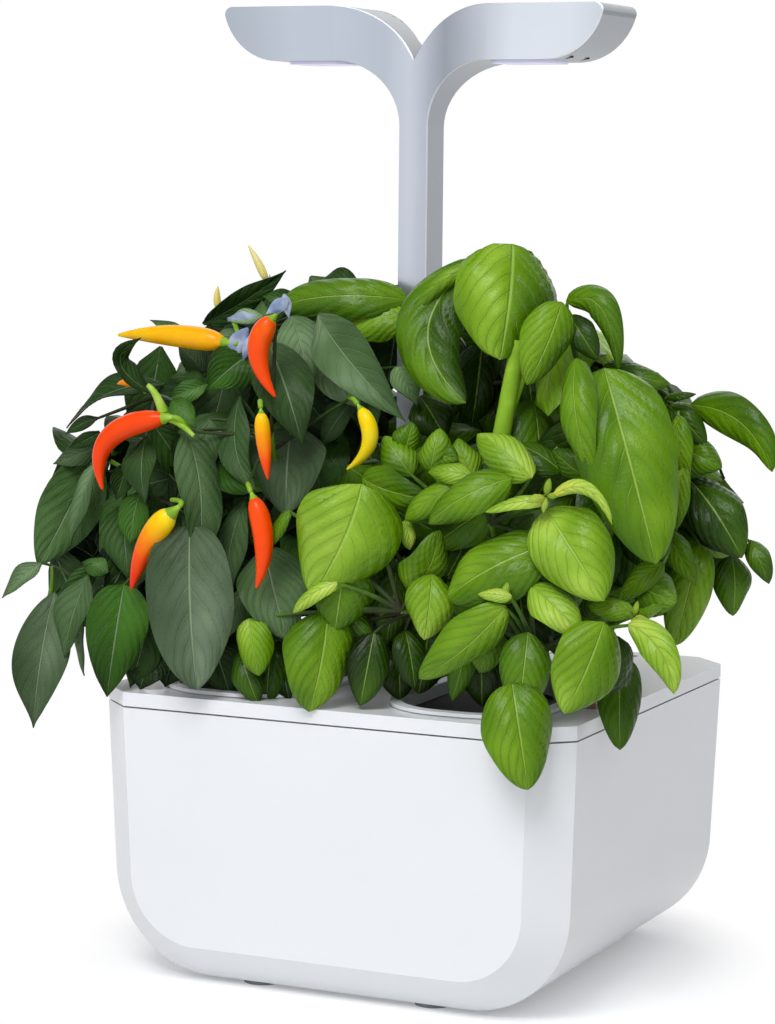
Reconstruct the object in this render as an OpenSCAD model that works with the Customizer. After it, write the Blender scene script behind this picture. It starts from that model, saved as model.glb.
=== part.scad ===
// Countertop hydroponic garden: a water tub, a lid with two planted pods and a Y-shaped grow lamp.
// Millimetres. The origin is the middle of the footprint, on the surface that the feet stand on; the front is -Y.

/* [Tub] */
// Width of the lid and of the tub's rim, left to right
body_w = 188; // [184:1:192]
// Depth of the lid and of the tub's rim, front to back
body_d = 180; // [178:1:184]
// Height of the tub without its feet
tub_h = 101.5; // [98:0.5:104]
// Wall thickness of the tub
tub_wall = 2.5; // [2:0.1:2.8]
// Radius of the two long lower edges
tub_r = 39.5; // [32:0.5:42]
// Width of the cut-off corner, seen from the front
corner_w = 13.5; // [10:0.5:16]
// Depth of the cut-off corner, seen from the side
corner_d = 12.8; // [10:0.2:14]
// Inward lean of the side walls, in degrees
side_lean = 2; // [1:0.1:2.4]
// Inward lean of the front and back walls, in degrees
front_lean = 1.7; // [1:0.1:2]
// Height of the rubber feet
foot_h = 2; // [1.5:0.1:3]

/* [Lid] */
// Thickness of the lid's plate
lid_t = 5.2; // [4.8:0.1:6]
// Gap between lid and tub, which the gasket fills
lid_gap = 0.6; // [0.5:0.1:1]
// Depth of the locating skirt below the lid
skirt_h = 7; // [5:0.5:8]

/* [Pods] */
// Distance of each pod's middle from the centre line
pod_x = 46; // [46:0.5:47]
// Front-to-back place of the pods' middle
pod_y = -17; // [-18:0.5:-15]
// Width of a pod opening
pod_w = 58; // [56:0.5:58]
// Front-to-back length of a pod opening
pod_d = 126; // [120:1:127]
// Corner radius of a pod opening
pod_r = 24; // [18:0.5:26]
// Depth of a pod tray below the top of the lid
pod_h = 44; // [38:1:46]

/* [Lamp] */
// Height of the lamp's top above the table
lamp_top = 362.4; // [355:0.1:368]
// Height of the lamp arms, from underside to top
arm_h = 20.5; // [19:0.5:21]
// Half of the lamp's span
arm_reach = 76.5; // [75:0.5:80]
// Depth of the arms, front to back
arm_d = 36; // [35:0.5:38]
// Width of the mast
mast_w = 10.9; // [10.5:0.1:11.5]
// Depth of the mast, front to back
mast_d = 16.4; // [16:0.1:17]
// Front-to-back place of the mast's middle
mast_y = -6.4; // [-6.8:0.1:-6]
// How far the lamp can be lowered
lamp_drop = 40; // [30:1:40]
// Wall thickness of the lamp's mouldings
lamp_wall = 2; // [1.8:0.1:2.2]

/* [Plants] */
// Thickness of a leaf's solid
leaf_t = 1.6; // [1.2:0.1:2.4]
// Height of a leaf's arch, as a share of its length
leaf_arch = 0.1; // [0.05:0.01:0.15]

/* [Hidden] */

eps = 0.01;
fine = 64;
white = "#eef0f2";
silver = "#b9bec8";
dark = "#2b2d30";

// Heights of the tub and the lid
rim_z = foot_h + tub_h;
lid_z = rim_z + lid_gap;
deck_z = lid_z + lid_t;
fit_gap = 0.3;

// Feet, inside the flat part of the floor
foot_r = 7;
foot_x = 35;
foot_y = 65;

// Lid skirt, inside the tub's rim
skirt_in = tub_wall + 0.7;
skirt_t = 2;

// Power inlet under the back edge of the lid
jack_w = 14;
jack_h = 11;
jack_y0 = 76;
jack_y1 = body_d / 2 - 1.4;
jack_z = lid_z - 5.6;
jack_r = 3;
jack_deep = 10;

// Duct from the inlet to the mast socket
duct_w = 14;
duct_h = 9;
duct_wall = 1.5;

// Programme button and the board under it
button_y = 60;
button_r = 4.8;
button_travel = 1.2;
board_z = lid_z - 5.3;
board_t = 1.6;

// Mast socket
socket_gap = 0.4;
socket_wall = 2.4;
socket_w = mast_w + 2 * (socket_gap + socket_wall);
socket_d = mast_d + 2 * (socket_gap + socket_wall);
socket_floor_z = 12;
socket_floor_t = 2;
flange_w = 22;
flange_d = 28;
flange_t = 2.4;
screw_dx = 9.5;
screw_dy = 12.4;
mast_foot_t = 4;
mast_z0 = socket_floor_z + socket_floor_t + 0.5 + lamp_drop + mast_foot_t;
rail_h = lamp_drop + 41;

// Level gauge near the front right corner
gauge_x = 83.6;
gauge_y = -38;
gauge_r = 4.2;
gauge_bore_r = 3;
float_z = 50;

// Filler mouth, its flap and the flap's pin
mouth_x = 41;
mouth_y0 = 60;
mouth_y1 = 76;
mouth_w = 30;
flap_w = 33.2;
flap_t = 2;
pin_y = 78.6;
knuckle_r = 2.3;
pin_r = 1;
pin_z = deck_z - 0.1 - knuckle_r;
rebate_w = 34;
rebate_y0 = 58;
rebate_y1 = 81.6;

// Pod trays and what they hold
tray_gap = 0.4;
tray_wall = 1.6;
tray_lip = 3;
tray_lip_t = 1.4;
block_gap = 0.2;
block_top = deck_z - 4.3;
cover_t = 1.2;
wick_w = 12;
wick_t = 3;
wick_end_z = 8;

// Lamp: circles of the arm's outline, in the plane of the front
arm_z = lamp_top - arm_h;
valley_x = 31.8;
valley_r = 34.6;
neck_x = 30;
neck_r = neck_x - mast_w / 2;
tip_x = 54;
tip_corner_r = 3;
tip_corner_x = arm_reach - tip_corner_r;
tip_r = (pow(arm_reach - tip_x, 2) + pow(arm_h - tip_corner_r, 2)) / (2 * (arm_h - tip_corner_r));
arm_y0 = -19.7;
arm_y1 = arm_y0 + arm_d;
mast_y0 = mast_y - mast_d / 2;
mast_y1 = mast_y + mast_d / 2;
fascia_t = 2;
cover_line = 4.5;
cover_gap = 0.3;

// Light windows and what lies above them
window_x = 41.5;
window_y = -1.7;
window_w = 25;
window_d = 25;
window_bulge = 0.9;
led_z = arm_z + 4.1;
led_t = 1.5;
chip = 2.8;
chip_t = 0.8;
spreader_w = 33;
spreader_d = 24.4;
board_w = 24;
spreader_t = 2;
fin_h = 6;
post_x = 15.1;
post_y = 10.8;
fixing_x = 60;

// ---------- shared shapes ----------

function arc(cx, cy, r, a0, a1, n = 14) =
  [for (i = [0:n]) [cx + r * cos(a0 + (a1 - a0) * i / n), cy + r * sin(a0 + (a1 - a0) * i / n)]];

function flipped(points) = [for (i = [len(points) - 1:-1:0]) [-points[i].x, points[i].y]];

module round_rect(w, d, r) {
  square([w - 2 * r, d], center = true);
  square([w, d - 2 * r], center = true);
  for (sx = [-1, 1], sy = [-1, 1])
    translate([sx * (w / 2 - r), sy * (d / 2 - r)])
      circle(r, $fn = fine);
}

module round_plate(w, d, r, h) {
  linear_extrude(h)
    round_rect(w, d, r);
}

// A shape drawn in X and Z, standing between two Y planes
module upright(y0, y1) {
  translate([0, y1, 0])
    rotate([90, 0, 0])
      linear_extrude(y1 - y0)
        children();
}

// ---------- tub ----------

// Thin U-shaped slice of the tub: inset from the outer profile, set back from the front face
module tub_slice(inset, back) {
  wall_x = body_w / 2 - inset;
  bend_x = body_w / 2 - (tub_h - tub_r) * tan(side_lean) - tub_r / cos(side_lean);
  translate([0, -body_d / 2 + back, rim_z])
    rotate([front_lean, 0, 0]) {
      for (sx = [-1, 1])
        translate([sx * bend_x, 0, tub_r - tub_h])
          rotate([90, 0, 0])
            cylinder(r = tub_r - inset, h = eps, $fn = fine);
      translate([-wall_x, -eps, -eps])
        cube([2 * wall_x, eps, eps]);
    }
}

module tub_block(skin) {
  hull()
    for (turn = [0, 180])
      rotate(turn) {
        tub_slice(corner_w + skin / 2, skin);
        tub_slice(skin, corner_d + skin / 2);
      }
}

module tub_shell() {
  color(white)
    difference() {
      tub_block(0);
      translate([0, 0, eps])
        tub_block(tub_wall);
      translate([-jack_w / 2 - 0.6, jack_y0, lid_z - jack_h - 0.6])
        cube([jack_w + 1.2, body_d / 2 - jack_y0 + 1, jack_h + 2]);
    }
}

module foot_pads() {
  color(dark)
    for (sx = [-1, 1], sy = [-1, 1])
      translate([sx * foot_x, sy * foot_y, 0])
        cylinder(r = foot_r, h = foot_h, $fn = fine);
}

// ---------- lid ----------

// Plan of the lid: a rectangle with its corners cut off
module lid_plan(inset = 0) {
  x = body_w / 2 - inset;
  y = body_d / 2 - inset;
  cw = corner_w - inset / 2;
  cd = corner_d - inset / 2;
  polygon([
    [x, y - cd], [x - cw, y], [cw - x, y], [-x, y - cd],
    [-x, cd - y], [cw - x, -y], [x - cw, -y], [x, cd - y]
  ]);
}

module lid_plate() {
  color(white)
    difference() {
      union() {
        translate([0, 0, lid_z])
          linear_extrude(lid_t)
            lid_plan();
        translate([0, 0, lid_z - skirt_h])
          linear_extrude(skirt_h)
            difference() {
              lid_plan(skirt_in);
              lid_plan(skirt_in + skirt_t);
              translate([0, body_d / 2])
                square([jack_w + 2, 20], center = true);
            }
        // thicker floor under the pocket of the flap's knuckle
        translate([mouth_x - rebate_w / 2 - 2, mouth_y1, lid_z - 2.4])
          cube([rebate_w + 4, rebate_y1 + 2 - mouth_y1, 3]);
      }
      for (sx = [-1, 1])
        translate([sx * pod_x, pod_y, lid_z - eps])
          round_plate(pod_w, pod_d, pod_r, lid_t + 1);
      translate([-socket_w / 2 - eps, mast_y - socket_d / 2 - eps, lid_z - eps])
        cube([socket_w + 2 * eps, socket_d + 2 * eps, lid_t + 1]);
      for (sx = [-1, 1], sy = [-1, 1])
        translate([sx * screw_dx, mast_y + sy * screw_dy, lid_z + 1])
          cylinder(r = 0.7, h = lid_t, $fn = fine);
      translate([0, button_y, lid_z - eps])
        cylinder(r = button_r + 0.4, h = lid_t + 1, $fn = fine);
      translate([gauge_x, gauge_y, lid_z - eps])
        cylinder(r = gauge_r, h = lid_t + 1, $fn = fine);
      translate([mouth_x - mouth_w / 2, mouth_y0, lid_z - eps])
        cube([mouth_w, mouth_y1 - mouth_y0, lid_t + 1]);
      translate([mouth_x - rebate_w / 2, rebate_y0, deck_z - flap_t - fit_gap])
        cube([rebate_w, rebate_y1 - rebate_y0, flap_t + 1]);
      translate([mouth_x - rebate_w / 2, pin_y - knuckle_r - fit_gap, lid_z + 0.2])
        cube([rebate_w, rebate_y1 - pin_y + knuckle_r + fit_gap, lid_t]);
      translate([mouth_x - rebate_w / 2 - 2, pin_y, pin_z])
        rotate([0, 90, 0])
          cylinder(r = pin_r, h = rebate_w + 4, $fn = fine);
      translate([mouth_x, rebate_y0, deck_z - flap_t])
        cylinder(r = 5, h = flap_t + 1, $fn = fine);
    }
}

module lid_gasket() {
  color("#9a9fa4")
    translate([0, 0, lid_z - lid_gap + fit_gap])
      linear_extrude(lid_gap - fit_gap)
        difference() {
          lid_plan(0.8);
          lid_plan(skirt_in);
          translate([0, body_d / 2])
            square([jack_w + 2, 20], center = true);
        }
}

module mast_socket() {
  inner_w = mast_w + 2 * socket_gap;
  inner_d = mast_d + 2 * socket_gap;
  color(white)
    difference() {
      union() {
        translate([-socket_w / 2, mast_y - socket_d / 2, socket_floor_z])
          cube([socket_w, socket_d, deck_z - socket_floor_z]);
        translate([0, mast_y, deck_z])
          round_plate(flange_w, flange_d, 3, flange_t);
      }
      translate([-inner_w / 2, mast_y - inner_d / 2, socket_floor_z + socket_floor_t])
        cube([inner_w, inner_d, deck_z + flange_t]);
      for (sx = [-1, 1], sy = [-1, 1])
        translate([sx * screw_dx, mast_y + sy * screw_dy, deck_z - eps]) {
          cylinder(r = 0.7, h = flange_t + 1, $fn = fine);
          translate([0, 0, flange_t - 1])
            cylinder(r = 1.3, h = 2, $fn = fine);
        }
      // pockets for the two brushes and the way in for the cable
      for (sx = [-1, 1])
        translate([sx * 2.6 - 1.2, mast_y1 + socket_gap - eps, lid_z - 13])
          cube([2.4, 1.4 + eps, 8]);
      translate([0, mast_y1 + socket_gap, lid_z - 6.4])
        rotate([-90, 0, 0])
          cylinder(r = 1, h = socket_wall + 1, $fn = fine);
    }
}

module socket_screws() {
  color(dark)
    for (sx = [-1, 1], sy = [-1, 1])
      translate([sx * screw_dx, mast_y + sy * screw_dy, lid_z + 1]) {
        cylinder(r = 0.7, h = lid_t - 1 + flange_t - 0.5, $fn = fine);
        translate([0, 0, lid_t - 1 + flange_t - 1])
          difference() {
            cylinder(r = 1.3, h = 0.9, $fn = fine);
            translate([-1, -0.2, 0.5])
              cube([2, 0.4, 1]);
          }
      }
}

module contact_brushes() {
  color("#c9a24a")
    for (sx = [-1, 1])
      translate([sx * 2.6 - 1.1, mast_y1 + fit_gap, lid_z - 12.8])
        cube([2.2, 1.4, 7.6]);
}

module cable_duct() {
  y0 = mast_y + socket_d / 2;
  color(white)
    translate([0, 0, lid_z - duct_h])
      difference() {
        translate([-duct_w / 2, y0, 0])
          cube([duct_w, jack_y0 - y0, duct_h]);
        translate([-duct_w / 2 + duct_wall, y0 - 1, duct_wall])
          cube([duct_w - 2 * duct_wall, button_y - 16 - y0 + 1, duct_h]);
        // narrower low down where the board rests on two ledges
        translate([-duct_w / 2 + duct_wall, button_y - 16 - eps, duct_h - 5.3])
          cube([duct_w - 2 * duct_wall, jack_y0 - button_y + 17, duct_h]);
        translate([-3, button_y - 16 - eps, duct_wall])
          cube([6, jack_y0 - button_y + 17, duct_h]);
      }
}

module inlet_cable() {
  color(dark)
    translate([0, mast_y1 + socket_gap + 0.6, lid_z - 6.4])
      rotate([-90, 0, 0])
        cylinder(r = 1, h = jack_y0 - mast_y1 - socket_gap - 0.6, $fn = fine);
}

module control_board() {
  color("#2f6b3c")
    difference() {
      translate([-5.2, button_y - 15, board_z])
        cube([10.4, 30, board_t]);
      for (sy = [-1, 1])
        translate([0, button_y + sy * 12, board_z - 1])
          cylinder(r = 1.1, h = board_t + 2, $fn = fine);
    }
}

module button_switch() {
  color(dark)
    translate([0, button_y, board_z + board_t]) {
      translate([-3, -3, 0])
        cube([6, 6, 0.5]);
      translate([0, 0, 0.5])
        cylinder(r = 1.6, h = 0.3, $fn = fine);
    }
}

module power_jack() {
  color(dark)
    difference() {
      translate([-jack_w / 2, jack_y0, lid_z - jack_h])
        cube([jack_w, jack_y1 - jack_y0, jack_h]);
      translate([0, jack_y1 - jack_deep, jack_z])
        rotate([-90, 0, 0])
          cylinder(r = jack_r, h = jack_deep + 1, $fn = fine);
    }
}

module jack_pin() {
  color("#d7d9dc")
    translate([0, jack_y1 - jack_deep, jack_z])
      rotate([-90, 0, 0])
        cylinder(r = 1, h = jack_deep - 1.5, $fn = fine);
}

module gauge_guide() {
  color("#dfe9ee", 0.5)
    translate([gauge_x, gauge_y, 0])
      difference() {
        union() {
          translate([0, 0, lid_z - 12])
            cylinder(r = gauge_r, h = lid_t + 12, $fn = fine);
          translate([0, 0, deck_z])
            cylinder(r = gauge_r + 1.2, h = 1.2, $fn = fine);
        }
        translate([0, 0, lid_z - 13])
          cylinder(r = gauge_bore_r, h = lid_t + 20, $fn = fine);
      }
}

module flap_pin() {
  color("#c8ccd0")
    translate([mouth_x - rebate_w / 2 - 2, pin_y, pin_z])
      rotate([0, 90, 0])
        cylinder(r = pin_r, h = rebate_w + 4, $fn = fine);
}

// ---------- moving parts of the lid ----------

module filler_flap() {
  color(white)
    translate([mouth_x - flap_w / 2, 0, 0])
      difference() {
        union() {
          translate([0, rebate_y0 + 0.4, deck_z - flap_t - 0.1])
            cube([flap_w, pin_y - rebate_y0 - 0.4, flap_t]);
          translate([0, pin_y, pin_z])
            rotate([0, 90, 0])
              cylinder(r = knuckle_r, h = flap_w, $fn = fine);
        }
        translate([-1, pin_y, pin_z])
          rotate([0, 90, 0])
            cylinder(r = pin_r + 0.08, h = flap_w + 2, $fn = fine);
      }
}

module float_block() {
  color("#f2f4f5")
    translate([gauge_x, gauge_y, float_z])
      difference() {
        translate([-7, -14, 0])
          cube([9.6, 28, 14]);
        translate([0, 0, 4])
          cylinder(r = 1.4, h = 11, $fn = fine);
      }
}

module float_rod() {
  color("#d23b2c")
    translate([gauge_x, gauge_y, float_z + 4]) {
      cylinder(r = 1.4, h = deck_z - float_z - 3, $fn = fine);
      translate([0, 0, deck_z - float_z - 4])
        cylinder(r = 2.3, h = 6, $fn = fine);
    }
}

module program_button() {
  flange_z = lid_z - fit_gap - 1;
  color("#d9dcdf")
    translate([0, button_y, flange_z]) {
      cylinder(r = 5.4, h = 1, $fn = fine);
      cylinder(r = button_r, h = deck_z - flange_z + 0.8, $fn = fine);
    }
}

// ---------- pods ----------

module pod_tray() {
  tray_w = pod_w - 2 * tray_gap;
  tray_d = pod_d - 2 * tray_gap;
  color("#e4e7e9")
    translate([0, pod_y, 0])
      difference() {
        union() {
          translate([0, 0, deck_z - pod_h])
            round_plate(tray_w, tray_d, pod_r - tray_gap, pod_h + fit_gap + tray_lip_t);
          translate([0, 0, deck_z + fit_gap])
            round_plate(tray_w + 2 * tray_lip, tray_d + 2 * tray_lip, pod_r + tray_lip, tray_lip_t);
        }
        translate([0, 0, deck_z - pod_h + tray_wall])
          round_plate(tray_w - 2 * tray_wall, tray_d - 2 * tray_wall, pod_r - tray_wall, pod_h + 9);
        cube([wick_w + 0.4, wick_t + 0.4, 400], center = true);
        for (sx = [-1, 1], sy = [-1, 1])
          translate([sx * 14, sy * 34, 0])
            cylinder(r = 2, h = deck_z, $fn = fine);
      }
}

module growing_block() {
  w = pod_w - 2 * (tray_gap + tray_wall + block_gap);
  d = pod_d - 2 * (tray_gap + tray_wall + block_gap);
  z0 = deck_z - pod_h + tray_wall;
  color("#4a3627")
    translate([0, pod_y, z0])
      round_plate(w, d, pod_r - tray_wall - block_gap, block_top - z0);
}

module pod_cover(hole_r) {
  w = pod_w - 2 * (tray_gap + tray_wall + block_gap);
  d = pod_d - 2 * (tray_gap + tray_wall + block_gap);
  color("#3a3d38")
    translate([0, pod_y, block_top])
      difference() {
        round_plate(w, d, pod_r - tray_wall - block_gap, cover_t);
        translate([0, 0, -1])
          cylinder(r = hole_r, h = cover_t + 2, $fn = fine);
      }
}

module wick() {
  color("#f0efe8")
    translate([-wick_w / 2, pod_y - wick_t / 2, wick_end_z])
      cube([wick_w, wick_t, deck_z - pod_h + tray_wall - wick_end_z]);
}

module pod_tray_left() {
  translate([-pod_x, 0, 0])
    pod_tray();
}

module pod_tray_right() {
  translate([pod_x, 0, 0])
    pod_tray();
}

module growing_block_left() {
  translate([-pod_x, 0, 0])
    growing_block();
}

module growing_block_right() {
  translate([pod_x, 0, 0])
    growing_block();
}

module pod_cover_left() {
  translate([-pod_x, 0, 0])
    pod_cover(9);
}

module pod_cover_right() {
  translate([pod_x, 0, 0])
    pod_cover(14);
}

module wick_left() {
  translate([-pod_x, 0, 0])
    wick();
}

module wick_right() {
  translate([pod_x, 0, 0])
    wick();
}

// ---------- plants ----------

// Share of the leaf's full width at five places along it
leaf_at = [0, 0.14, 0.42, 0.74, 1];
leaf_width = [0.07, 0.5, 1, 0.72, 0.05];

module leaf_section(i, size, w) {
  translate([size * leaf_at[i], 0, 4 * leaf_arch * size * leaf_at[i] * (1 - leaf_at[i])])
    cube([0.4, w * leaf_width[i], leaf_t], center = true);
}

// A pointed leaf, arched between its base and its tip
module leaf(base, tip, w) {
  run = tip - base;
  heading = atan2(run.y, run.x);
  pitch = atan2(run.z, norm([run.x, run.y]));
  translate(base)
    rotate([0, -pitch, heading])
      for (i = [0:3])
        hull() {
          leaf_section(i, norm(run), w);
          leaf_section(i + 1, norm(run), w);
        }
}

module stalk(a, b, ra, rb) {
  hull() {
    translate(a)
      sphere(ra, $fn = 8);
    translate(b)
      sphere(rb, $fn = 8);
  }
}

// Each branch: where it ends, and the tips and width of the leaves that grow from its end
chilli_foot = [-pod_x, pod_y, block_top + 2.5];
chilli_fork = [-50, -16, 158];
chilli_branches = [
  [[-112, -46, 190], 35, [[-144, -52, 164], [-138, -30, 194], [-116, -80, 156], [-136, -30, 150]]],
  [[-116, -60, 144], 30, [[-146, -72, 138], [-133, -74, 90], [-98, -88, 106]]],
  [[-104, 4, 206], 35, [[-126, -10, 234], [-146, 10, 190], [-132, 32, 166], [-112, 44, 206]]],
  [[-88, -52, 216], 34, [[-112, -68, 194], [-88, -84, 182], [-110, -38, 214], [-66, -80, 208]]],
  [[-62, -68, 172], 38, [[-54, -88, 115], [-92, -90, 130], [-30, -86, 138], [-72, -94, 150]]],
  [[-30, -70, 206], 30, [[0, -84, 204], [-16, -86, 164], [-44, -90, 190]]],
  [[-62, -20, 238], 30, [[-56, -2, 262], [-92, -18, 240], [-56, -50, 250], [-46, 14, 238]]],
  [[-70, 46, 200], 38, [[-106, 76, 186], [-66, 104, 172], [-26, 84, 192], [-84, 88, 142], [-40, 60, 232]]],
  [[-82, 34, 150], 34, [[-130, 54, 128], [-104, 84, 118], [-58, 98, 122]]],
  [[-36, 26, 190], 30, [[-12, 34, 214], [-20, 56, 158], [-56, 4, 210]]]
];

basil_foot = [pod_x, pod_y, block_top + 2.8];
basil_fork = [46, -17, 146];
basil_branches = [
  [[46, -20, 254], 36, [[50, -38, 273], [56, -56, 230], [14, -44, 222], [-28, -50, 250], [84, -14, 232], [30, 14, 250]]],
  [[78, -34, 220], 46, [[108, -34, 165], [92, -74, 182], [62, -80, 190]]],
  [[104, -2, 216], 38, [[142, -16, 196], [136, 10, 158], [118, 30, 170], [94, 34, 212]]],
  [[106, -10, 176], 38, [[126, -6, 141], [106, -16, 128], [120, -44, 150]]],
  [[60, 56, 208], 40, [[88, 76, 184], [40, 106, 180], [10, 78, 204], [106, 50, 170], [30, 50, 240], [70, 100, 146]]],
  [[58, -72, 178], 38, [[14, -92, 160], [62, -98, 150], [94, -84, 152], [34, -90, 186]]],
  [[78, -78, 134], 34, [[82, -104, 90], [110, -56, 100], [50, -96, 116]]],
  [[70, 50, 146], 38, [[96, 60, 130], [66, 92, 120], [28, 90, 130]]],
  [[28, -82, 146], 28, [[10, -94, 116], [38, -98, 118]]]
];

// Fruits: stalk end, bend, tip, greatest radius, and the branch end that the stalk grows from
fruits = [
  [[-64, -52, 237], [-86, -54, 240], [-108, -54, 238], 5, [-62, -20, 238]],
  [[-39, -76, 249], [-45, -78, 234], [-37, -78, 219], 4.6, [-62, -20, 238]],
  [[-78, -84, 206], [-99, -88, 200], [-108, -88, 180], 5, [-88, -52, 216]],
  [[-38, -95, 212], [-37, -96, 200], [-36, -96, 188], 3, [-30, -70, 206]],
  [[-6, -64, 216], [1, -66, 204], [-8, -66, 190], 4, [-30, -70, 206]],
  [[-72, -96, 180], [-78, -98, 166], [-86, -98, 150], 5, [-62, -68, 172]],
  [[-36, -92, 184], [-31, -94, 168], [-34, -94, 149], 4, [-30, -70, 206]],
  [[-76, -4, 259], [-78, -4, 266], [-80, -4, 273], 3, [-62, -20, 238]]
];

module plant(foot, fork, branches, r) {
  stalk(foot, fork, r, r * 0.8);
  for (b = branches) {
    stalk(fork, b[0], r * 0.6, r * 0.35);
    for (tip = b[2])
      leaf(b[0], tip, b[1]);
  }
}

module chilli_plant() {
  color("#3d5f34") {
    plant(chilli_foot, chilli_fork, chilli_branches, 2.6);
    for (f = fruits) {
      way = f[4] - f[0];
      stalk(f[4], f[0] + way / norm(way) * (f[3] * 0.8 + 0.9), 1.1, 0.9);
    }
  }
}

module basil_plant() {
  color("#6d9c26")
    plant(basil_foot, basil_fork, basil_branches, 3);
}

module chilli_fruits() {
  color("#f0531c")
    for (f = fruits) {
      hull() {
        translate(f[0])
          sphere(f[3] * 0.8, $fn = 14);
        translate(f[1])
          sphere(f[3] * 0.85, $fn = 14);
      }
      hull() {
        translate(f[1])
          sphere(f[3] * 0.85, $fn = 14);
        translate(f[2])
          sphere(0.8, $fn = 8);
      }
    }
}

// ---------- lamp ----------

// Right half of the lamp's front outline, from the foot of the mast round the arm to the valley
function half_outline(inset) =
  let (
    bottom = arm_z + inset,
    end_r = tip_r - inset,
    corner_r = tip_corner_r - inset,
    end_z = arm_z + tip_r,
    end_a = asin((lamp_top - tip_corner_r - end_z) / end_r),
    valley_end = 180 - acos(valley_x / (valley_r - inset))
  )
  concat(
    [[mast_w / 2 - inset, mast_z0 - inset]],
    arc(neck_x, arm_z - neck_r, neck_r + inset, 180, 90),
    arc(tip_x, end_z, end_r, -90, end_a),
    arc(tip_corner_x, lamp_top - tip_corner_r, corner_r, 0, 90, 6),
    arc(valley_x, lamp_top - valley_r, valley_r - inset, 90, valley_end)
  );

module lamp_outline(inset = 0) {
  half = half_outline(inset);
  last = len(half) - 1;
  polygon(concat(half, flipped([for (i = [0:last - 1]) half[i]])));
}

// Plan of the lamp, deep at the arms and slim at the mast, trimmed at front and back
module lamp_plan(front = 0, back = 0) {
  x1 = arm_reach + 2;
  x0 = mast_w / 2;
  translate([0, 0, mast_z0 - 1])
    linear_extrude(lamp_top)
      polygon([
        [-x1, arm_y0 + front], [-valley_x, arm_y0 + front], [-x0, mast_y0 + front], [x0, mast_y0 + front],
        [valley_x, arm_y0 + front], [x1, arm_y0 + front], [x1, arm_y1 - back], [valley_x, arm_y1 - back],
        [x0, mast_y1 - back], [-x0, mast_y1 - back], [-valley_x, arm_y1 - back], [-x1, arm_y1 - back]
      ]);
}

// Where the right arm's top cover lies in the front outline
module cover_zone(side_gap) {
  low = lamp_top - cover_line;
  polygon([
    [side_gap, low - 26], [mast_w, low - 12], [valley_x, low], [arm_reach + 2, low],
    [arm_reach + 2, lamp_top + 2], [side_gap, lamp_top + 2]
  ]);
}

module cover_band(side_gap, outer, inner) {
  intersection() {
    difference() {
      lamp_outline(outer);
      lamp_outline(inner);
    }
    cover_zone(side_gap);
  }
}

module both_sides() {
  children();
  mirror([1, 0, 0])
    children();
}

module lamp_shell() {
  color(silver)
    difference() {
      union() {
        difference() {
          intersection() {
            upright(arm_y0 - 1, arm_y1 + 1)
              lamp_outline();
            lamp_plan(fascia_t, 0);
          }
          intersection() {
            upright(arm_y0 - 1, arm_y1 + 1)
              lamp_outline(lamp_wall);
            lamp_plan(-1, lamp_wall);
          }
          both_sides()
            upright(arm_y0 - 1, arm_y1 + 1)
              cover_band(0, -1, lamp_wall + 0.05);
        }
        // posts that carry the heat spreaders
        both_sides()
          for (x = [window_x - post_x, window_x + post_x], y = [window_y - post_y, window_y + post_y])
            translate([x, y, arm_z + lamp_wall - 0.6])
              cylinder(r = 1.4, h = led_z + led_t - arm_z - lamp_wall + 0.6, $fn = fine);
      }
      both_sides() {
        translate([window_x, window_y, arm_z - 1])
          round_plate(window_w, window_d, 6, lamp_wall + 2);
        for (y = [-8, 8])
          translate([fixing_x, window_y + y, arm_z - 1]) {
            cylinder(r = 0.9, h = 8, $fn = fine);
            cylinder(r = 1.9, h = 2.6, $fn = fine);
          }
      }
      // grooves for the contact rails in the back of the mast
      for (sx = [-1, 1])
        translate([sx * 2.6 - 1, mast_y1 - 0.5, mast_z0 - 1])
          cube([2, 1, rail_h + 1]);
    }
}

module lamp_fascia() {
  color("#c6cbd4")
    intersection() {
      upright(arm_y0 - 1, arm_y1 + 1)
        lamp_outline();
      difference() {
        lamp_plan(0, 0);
        lamp_plan(fascia_t, -3);
      }
    }
}

module top_cover() {
  color(silver)
    difference() {
      union() {
        intersection() {
          upright(arm_y0 - 1, arm_y1 + 1)
            cover_band(cover_gap, 0, lamp_wall);
          lamp_plan(fascia_t + cover_gap, 0);
        }
        for (y = [-8, 8])
          translate([fixing_x, window_y + y, arm_z + 8])
            cylinder(r = 2.2, h = arm_h - 8 - lamp_wall + 0.6, $fn = fine);
      }
      for (y = [-8, 8])
        translate([fixing_x, window_y + y, arm_z + 7])
          cylinder(r = 0.9, h = 8, $fn = fine);
      for (row = [0, 1], i = [0:5])
        translate([14 + 3.4 * i, 5 + 3 * row, lamp_top - 24])
          cylinder(r = 0.7, h = 30, $fn = fine);
    }
}

module top_cover_right() {
  top_cover();
}

module top_cover_left() {
  mirror([1, 0, 0])
    top_cover();
}

module cover_screws() {
  color(dark)
    both_sides()
      for (y = [-8, 8])
        translate([fixing_x, window_y + y, arm_z + 0.9]) {
          cylinder(r = 0.9, h = 13, $fn = fine);
          difference() {
            cylinder(r = 1.9, h = 0.7, $fn = fine);
            translate([-1.4, -0.25, -0.1])
              cube([2.8, 0.5, 0.4]);
          }
        }
}

module heat_spreader() {
  fin_n = 7;
  color("#c3c7cb")
    translate([window_x, window_y, led_z + led_t]) {
      translate([-spreader_w / 2, -spreader_d / 2, 0])
        cube([spreader_w, spreader_d, spreader_t]);
      for (i = [0:fin_n - 1])
        translate([-9 + 3 * i - 0.4, -spreader_d / 2, spreader_t])
          cube([0.8, spreader_d, fin_h]);
    }
}

module heat_spreader_right() {
  heat_spreader();
}

module heat_spreader_left() {
  mirror([1, 0, 0])
    heat_spreader();
}

module led_board() {
  color("#e9ebec")
    translate([window_x - board_w / 2, window_y - board_w / 2, led_z])
      cube([board_w, board_w, led_t]);
}

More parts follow.
